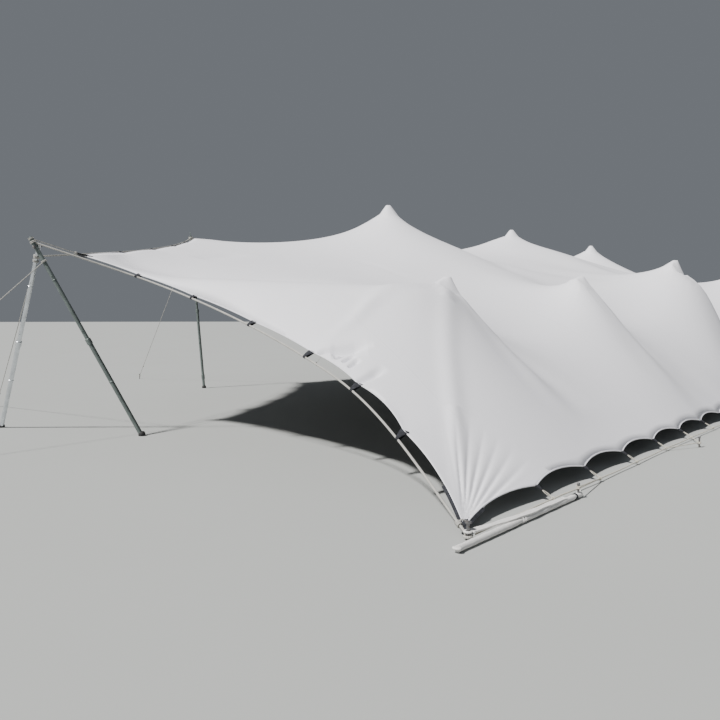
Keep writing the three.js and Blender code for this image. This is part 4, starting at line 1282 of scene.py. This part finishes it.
def loop_pieces(loop):
    """The knot and the two strands that tie the cloth to the ground rope, and the cloth's tab."""
    top, knot = loop_point(loop), ground_knot(loop)
    run = knot - top
    join = top + run * 0.30
    bow = np.array([0.016, 0.0, 0.0])
    cords = [winding(knot, (1.0, 0.05, 0.0), GROUND_CORD, 0.0055, 2.6, 1.6)]
    for side in (-1.0, 1.0):
        strand = [join, join + (knot - join) * 0.35 + bow * side,
                  join + (knot - join) * 0.7 + bow * side * 0.8, knot]
        cords.append(tube_mesh("strand", smooth_path(strand, 0.02), 0.004, 6))
    hold = [top + run * share for share in (-0.04, 0.06, 0.22, 0.36)]
    tab = ribbon_mesh("tab", hold, [(1.0, 0.0, 0.0)] * 4, [0.055, 0.054, 0.034, 0.018], 0.012)
    return cords, tab


def ground_hitches():
    """Each stake's hitch, the knots that are tied to it and the spacing of its cords' points."""
    hitches = []
    for loop in STAKE_LOOPS:
        x = (loop_point(loop)[0] + loop_point(loop + 1)[0]) / 2
        knots = [ground_knot(loop), ground_knot(loop + 1)]
        hitches.append((np.array([x, GROUND_STAKE_Y, 0.06]), knots, 0.1))
    for side, loop in ((1.0, 2), (-1.0, SCALLOPS - 2)):
        hitch = np.array([SLING_STAKE[0] * side, SLING_STAKE[1], STAKE_HEIGHT * 0.72])
        hitches.append((hitch, [ground_knot(loop)], 0.06))
    return hitches


class TENT_OT_add_ground_rope(bpy.types.Operator):
    """Rope over the ground with its knots, the cloth's tabs and loops, and the stakes."""

    bl_idname = "tent.add_ground_rope"
    bl_label = "Ground rope"

    def execute(self, context):
        start = np.array([GROUND_RING[0] + 0.07, GROUND_LINE_Y, 0.03])
        route = [start]
        for loop in range(1, SCALLOPS):
            route.append(ground_knot(loop))
            if loop < SCALLOPS - 1:
                middle = (ground_knot(loop) + ground_knot(loop + 1)) / 2
                route.append(middle + np.array([0.0, 0.004, -0.008]))
        route.append(mirrored(start))
        pieces = [tube_mesh("line", smooth_path(route, 0.09), GROUND_CORD, 8)]
        tabs, stakes = [], []
        for loop in range(1, SCALLOPS):
            cords, tab = loop_pieces(loop)
            pieces += cords
            tabs.append(tab)
        for hitch, knots, spacing in ground_hitches():
            for knot in knots:
                stay = smooth_path([knot, hitch], spacing)
                pieces.append(tube_mesh("stay", stay, STAY_CORD, 8))
            pieces.append(winding(hitch, (0, 0, 1), STAKE_SHANK, STAY_CORD, LASH_TURNS))
            stakes.append(stake_at(*hitch[:2]))
        rope = joined("ground_line", pieces)
        finished(rope, "ground_rope", ["ground_rope"], 60)
        finished(joined("ground_tabs", tabs), "black_webbing")
        finished(joined("ground_stakes", stakes), "steel_pin")
        return {"FINISHED"}


def stake_steps():
    return [(0.0, STAKE_SHANK), (0.112, STAKE_SHANK), (0.112, 0.0125), (0.1145, STAKE_RADIUS),
            (0.134, STAKE_RADIUS), (STAKE_HEIGHT, STAKE_SHANK)]


def stake_at(x, y):
    return stood(turned(stake_steps(), 12), (x, y, 0), (x, y, 1))


def ground_corner_webbing():
    """Edging along both sides of the cloth's low corner, and the straps that lead to the ring."""
    end_run = [end_edge(row) for row in np.linspace(0, 6.4, 9)]
    near_run = [near_edge(column) for column in np.linspace(0, 3.4, 9)]
    pieces = []
    for run, turn in ((end_run, -1), (near_run, 1)):
        inward = np.cross([0, 0, 1.0], run[-1] - run[0]) * turn
        inward = inward / np.linalg.norm(inward) + np.array([0, 0, 0.9])
        points = [point - inward * 0.014 for point in laid_on(run, 0.002)]
        pieces.append(ribbon_mesh("edging", points, [inward] * 9, [0.034] * 9, 0.008))
    lead = GROUND_RING - NEAR_CORNER
    gather = [NEAR_CORNER + lead * share for share in (-0.5, -0.15, 0.2, 0.62)]
    for level in (0.016, 0.0, -0.016):
        pieces.append(ribbon_mesh("lead", laid_on(gather, level), [(0.77, -0.64, 0)] * 4,
                                  [0.085, 0.07, 0.05, 0.04], 0.009))
    return pieces


def anchor_stake():
    steps = [(0.0, 0.012), (0.122, 0.012), (0.124, 0.024), (0.136, 0.024), (STAKE_HEIGHT, 0.018)]
    return stood(turned(steps, 20), (*GROUND_RING[:2], 0.0), (*GROUND_RING[:2], 1.0))


def high_corner_webbing(way):
    """Two patches that hold the cloth's high corner between them and narrow toward the line."""
    spread = [HIGH_CORNER + way * reach for reach in (-0.09, 0.0, 0.07, 0.135)]
    return [ribbon_mesh("patch", laid_on(spread, level), [(0, 1, 0)] * 4,
                        [0.21, 0.16, 0.07, 0.045], 0.004) for level in (0.008, -0.008)]


class TENT_OT_add_corners(bpy.types.Operator):
    """Webbing that binds the cloth's corners, the corner stakes and the lines to the frames."""

    bl_idname = "tent.add_corners"
    bl_label = "Corners"

    def execute(self, context):
        both_ends(ground_corner_webbing(), "corner_webbing", "black_webbing",
                  "ground_corner")
        both_ends([anchor_stake()], "anchor_stake", "steel_pin", "corner_stake")
        target = lash_point(NEAR_LEG, CORNER_LASH)
        way = (target - HIGH_CORNER) / np.linalg.norm(target - HIGH_CORNER)
        both_ends(high_corner_webbing(way), "high_webbing", "black_webbing",
                  "high_corner")
        line = smooth_path([HIGH_CORNER + way * 0.12, target], 0.06)
        ropes = [tube_mesh("line", line, 0.0065),
                 winding(target, leg_way(NEAR_LEG), LEG_RADIUS, 0.005, 2.4),
                 winding(HIGH_CORNER + way * 0.13, way, 0.008, 0.006, 3.0)]
        both_ends(ropes, "high_line", "guy_rope", angle=60)
        return {"FINISHED"}


# Rolled slings: how far the roll and the fold on it lie from the corner stake, and the tail from
# the roll's end
SLING_ROLL = 0.026
SLING_ROUTE = [(-0.29, -0.095, 0.028), (0.19, -0.102, 0.029), (0.69, -0.106, 0.028),
               (1.19, -0.110, 0.028), (1.70, -0.122, 0.028)]
SLING_FOLD = [(0.02, -0.02, 0.066), (0.30, -0.06, 0.064), (0.70, -0.10, 0.060),
              (1.10, -0.105, 0.056), (1.40, -0.112, 0.050)]
SLING_TAIL = [(-0.02, 0, 0.0), (0.03, 0.01, 0.02), (0.06, 0.035, 0.012), (0.045, 0.05, 0.0),
              (0.0, 0.035, 0.004)]


def roll_radius(order, count):
    """The roll's radius at a point: uneven, and drawn in near its middle and near its end."""
    t = order / (count - 1)
    middle_tie = 0.30 * math.exp(-((t - 0.46) / 0.025) ** 2)
    end_tie = 0.28 * math.exp(-((t - 0.95) / 0.02) ** 2)
    uneven = 1 + 0.07 * math.sin(order * 1.9) * math.sin(order * 0.7)
    return SLING_ROLL * (1 - (middle_tie + end_tie)) * uneven


def sling_pieces(path):
    """The roll with its eye and tail, the fold on top of it, its ring and its ties."""
    count = len(path)
    stake = np.array([*GROUND_RING[:2], 0.0])
    radii = [roll_radius(order, count) for order in range(count)]
    pieces = [tube_mesh("roll", path, SLING_ROLL, 16, flatten=0.95, radii=radii)]
    eye = path[0] + np.array([-0.006, 0.0, 0.006])
    pieces.append(ring_mesh(eye, (0.016, RING_RADIUS), 0.010, 18))
    fold = smooth_path([stake + place for place in SLING_FOLD], 0.05)
    widths = [0.05 + 0.008 * math.sin(order * 0.9) for order in range(len(fold))]
    pieces.append(ribbon_mesh("fold", fold, [(0.0, 1.0, 0.12)] * len(fold), widths, 0.013))
    ring = stake + np.array([0.0, 0.0, 0.062])
    pieces.append(ring_mesh(ring, (RING_RADIUS, RING_RADIUS), 0.009))
    for share in (0.47, 0.49, 0.74):
        spot = path[int(share * (count - 1))]
        pieces.append(winding(spot, (1, 0, 0), 0.018, 0.005, 1.6))
    tail = smooth_path([path[-1] + np.array(step) for step in SLING_TAIL], 0.015)
    pieces.append(tube_mesh("tail", tail, 0.006, 8))
    return pieces


class TENT_OT_add_slings(bpy.types.Operator):
    """Rolled white slings that lie along the pegged edge and loop round the corner stakes."""

    bl_idname = "tent.add_slings"
    bl_label = "Corner slings"

    def execute(self, context):
        stake = np.array([*GROUND_RING[:2], 0.0])
        path = smooth_path([stake + place for place in SLING_ROUTE], 0.035)
        both_ends(sling_pieces(path), "rolled_sling", "white_webbing",
                  "corner_sling", 50)
        tie = winding(path[int(0.955 * (len(path) - 1))], (1, 0, 0), 0.015, 0.006, 2.4)
        both_ends([tie], "sling_tie", "black_webbing", angle=60)
        return {"FINISHED"}


def guy_pieces(lash, way, post_radius, stake):
    """A guy rope with its turns round the post and the stake and its knot, and the stake."""
    radius = sizes().guy_radius
    hitch = np.array([stake[0], stake[1], STAKE_HEIGHT * 0.6])
    climb = np.array(lash) - hitch
    rope = [
        tube_mesh("guy", smooth_path([lash, hitch], 0.15), radius, 8),
        winding(lash, way, post_radius + 0.001, radius, LASH_TURNS),
        winding(hitch, (0, 0, 1), STAKE_SHANK, radius, LASH_TURNS),
        winding(hitch + climb * 0.08, climb, radius, 0.0045, 4),
    ]
    return rope, stake_at(*stake)


class TENT_OT_add_guys(bpy.types.Operator):
    """Guy ropes and stakes of the A-frames and the raised edge poles."""

    bl_idname = "tent.add_guys"
    bl_label = "Guy ropes"

    def execute(self, context):
        stakes = []
        for name, leg, stake in zip(("outer", "far"), (NEAR_LEG, FAR_LEG), END_GUY_STAKES):
            lash = lash_point(leg, GUY_LASH)
            rope, stake_piece = guy_pieces(lash, leg_way(leg), LEG_RADIUS, stake)
            both_ends(rope, f"{name}_guy", "guy_rope", f"a_frame_{name}_guy", 60)
            stakes.append(stake_piece)
        both_ends(stakes, "guy_stakes", "steel_pin")
        far_stakes = []
        places = [*FAR_GUY_STAKES, (-FAR_GUY_STAKES[0][0], FAR_GUY_STAKES[0][1])]
        for order, ((base, tip), stake) in enumerate(zip(FAR_POLES, places), 1):
            base, tip = np.array(base), np.array(tip)
            lash = tip - (tip - base) / np.linalg.norm(tip - base) * POLE_GUY_LASH
            rope, stake_piece = guy_pieces(lash, tip - base, inner_radius(), stake)
            piece = joined(f"raised_edge_stay_{order}", rope)
            finished(piece, "guy_rope", [f"raised_edge_guy_{order}"], 60)
            far_stakes.append(stake_piece)
        finished(joined("raised_edge_stakes", far_stakes), "steel_pin")
        return {"FINISHED"}


class TENT_OT_add_stage(bpy.types.Operator):
    """Pale floor, soft key light from the left and behind, and the camera."""

    bl_idname = "tent.add_stage"
    bl_label = "Stage"

    def execute(self, context):
        bpy.ops.object.select_all(action="DESELECT")
        bpy.ops.mesh.primitive_circle_add(vertices=96, radius=FLOOR_RADIUS, fill_type="NGON",
                                          location=(0, 0, -0.001))
        floor = context.object
        floor.name = floor.data.name = "studio_floor"
        floor.data.materials.append(finish("studio_floor"))
        key = bpy.data.lights.new("key_light", "SUN")
        key.energy = 6.5
        key.angle = math.radians(4)
        key.color = (1.0, 0.985, 0.96)
        lamp = bpy.data.objects.new("key_light", key)
        context.scene.collection.objects.link(lamp)
        lamp.rotation_euler = Vector(SUN_FROM).to_track_quat("Z", "Y").to_euler()
        world = bpy.data.worlds.new("studio_sky")
        context.scene.world = world
        world.use_nodes = True
        sky = world.node_tree.nodes["Background"]
        sky.inputs["Color"].default_value = (0.62, 0.67, 0.74, 1.0)
        sky.inputs["Strength"].default_value = 0.26
        level = math.cos(CAMERA_PITCH)
        sight = Vector((math.cos(CAMERA_HEADING) * level, math.sin(CAMERA_HEADING) * level,
                        -math.sin(CAMERA_PITCH)))
        view = bpy.data.cameras.new("view")
        view.lens, view.sensor_width = 35.0, 36.0
        view.clip_end = 1000.0
        camera = bpy.data.objects.new("view", view)
        context.scene.collection.objects.link(camera)
        camera.location = CAMERA_PLACE
        camera.rotation_euler = sight.to_track_quat("-Z", "Y").to_euler()
        context.scene.camera = camera
        return {"FINISHED"}


PIECE_OPERATORS = (
    TENT_OT_add_stage,
    TENT_OT_add_canopy,
    TENT_OT_add_centre_poles,
    TENT_OT_add_side_poles,
    TENT_OT_add_raised_edge_poles,
    TENT_OT_add_frames,
    TENT_OT_add_end_ropes,
    TENT_OT_add_raised_edge_rope,
    TENT_OT_add_ground_rope,
    TENT_OT_add_corners,
    TENT_OT_add_slings,
    TENT_OT_add_guys,
)


class TENT_PT_pieces(bpy.types.Panel):
    """Lists the tent's pieces with their sizes and colours."""

    bl_label = "Stretch Tent"
    bl_idname = "TENT_PT_pieces"
    bl_space_type = "VIEW_3D"
    bl_region_type = "UI"
    bl_category = "Stretch Tent"

    def draw(self, context):
        for group in (context.scene.stretch_tent_sizes, context.scene.stretch_tent_colours):
            box = self.layout.box()
            for name in group.__annotations__:
                box.prop(group, name)
        for piece in PIECE_OPERATORS:
            self.layout.operator(piece.bl_idname)


CLASSES = (TentSizes, TentColours, *PIECE_OPERATORS, TENT_PT_pieces)


def register():
    for tent_class in CLASSES:
        bpy.utils.register_class(tent_class)
    bpy.types.Scene.stretch_tent_sizes = bpy.props.PointerProperty(type=TentSizes)
    bpy.types.Scene.stretch_tent_colours = bpy.props.PointerProperty(type=TentColours)


def unregister():
    del bpy.types.Scene.stretch_tent_colours
    del bpy.types.Scene.stretch_tent_sizes
    for tent_class in reversed(CLASSES):
        bpy.utils.unregister_class(tent_class)


def main():
    register()
    bpy.ops.tent.add_stage()
    bpy.ops.tent.add_canopy()
    bpy.ops.tent.add_centre_poles()
    bpy.ops.tent.add_side_poles()
    bpy.ops.tent.add_raised_edge_poles()
    bpy.ops.tent.add_frames()
    bpy.ops.tent.add_end_ropes()
    bpy.ops.tent.add_raised_edge_rope()
    bpy.ops.tent.add_ground_rope()
    bpy.ops.tent.add_corners()
    bpy.ops.tent.add_slings()
    bpy.ops.tent.add_guys()


if __name__ == "__main__":
    main()
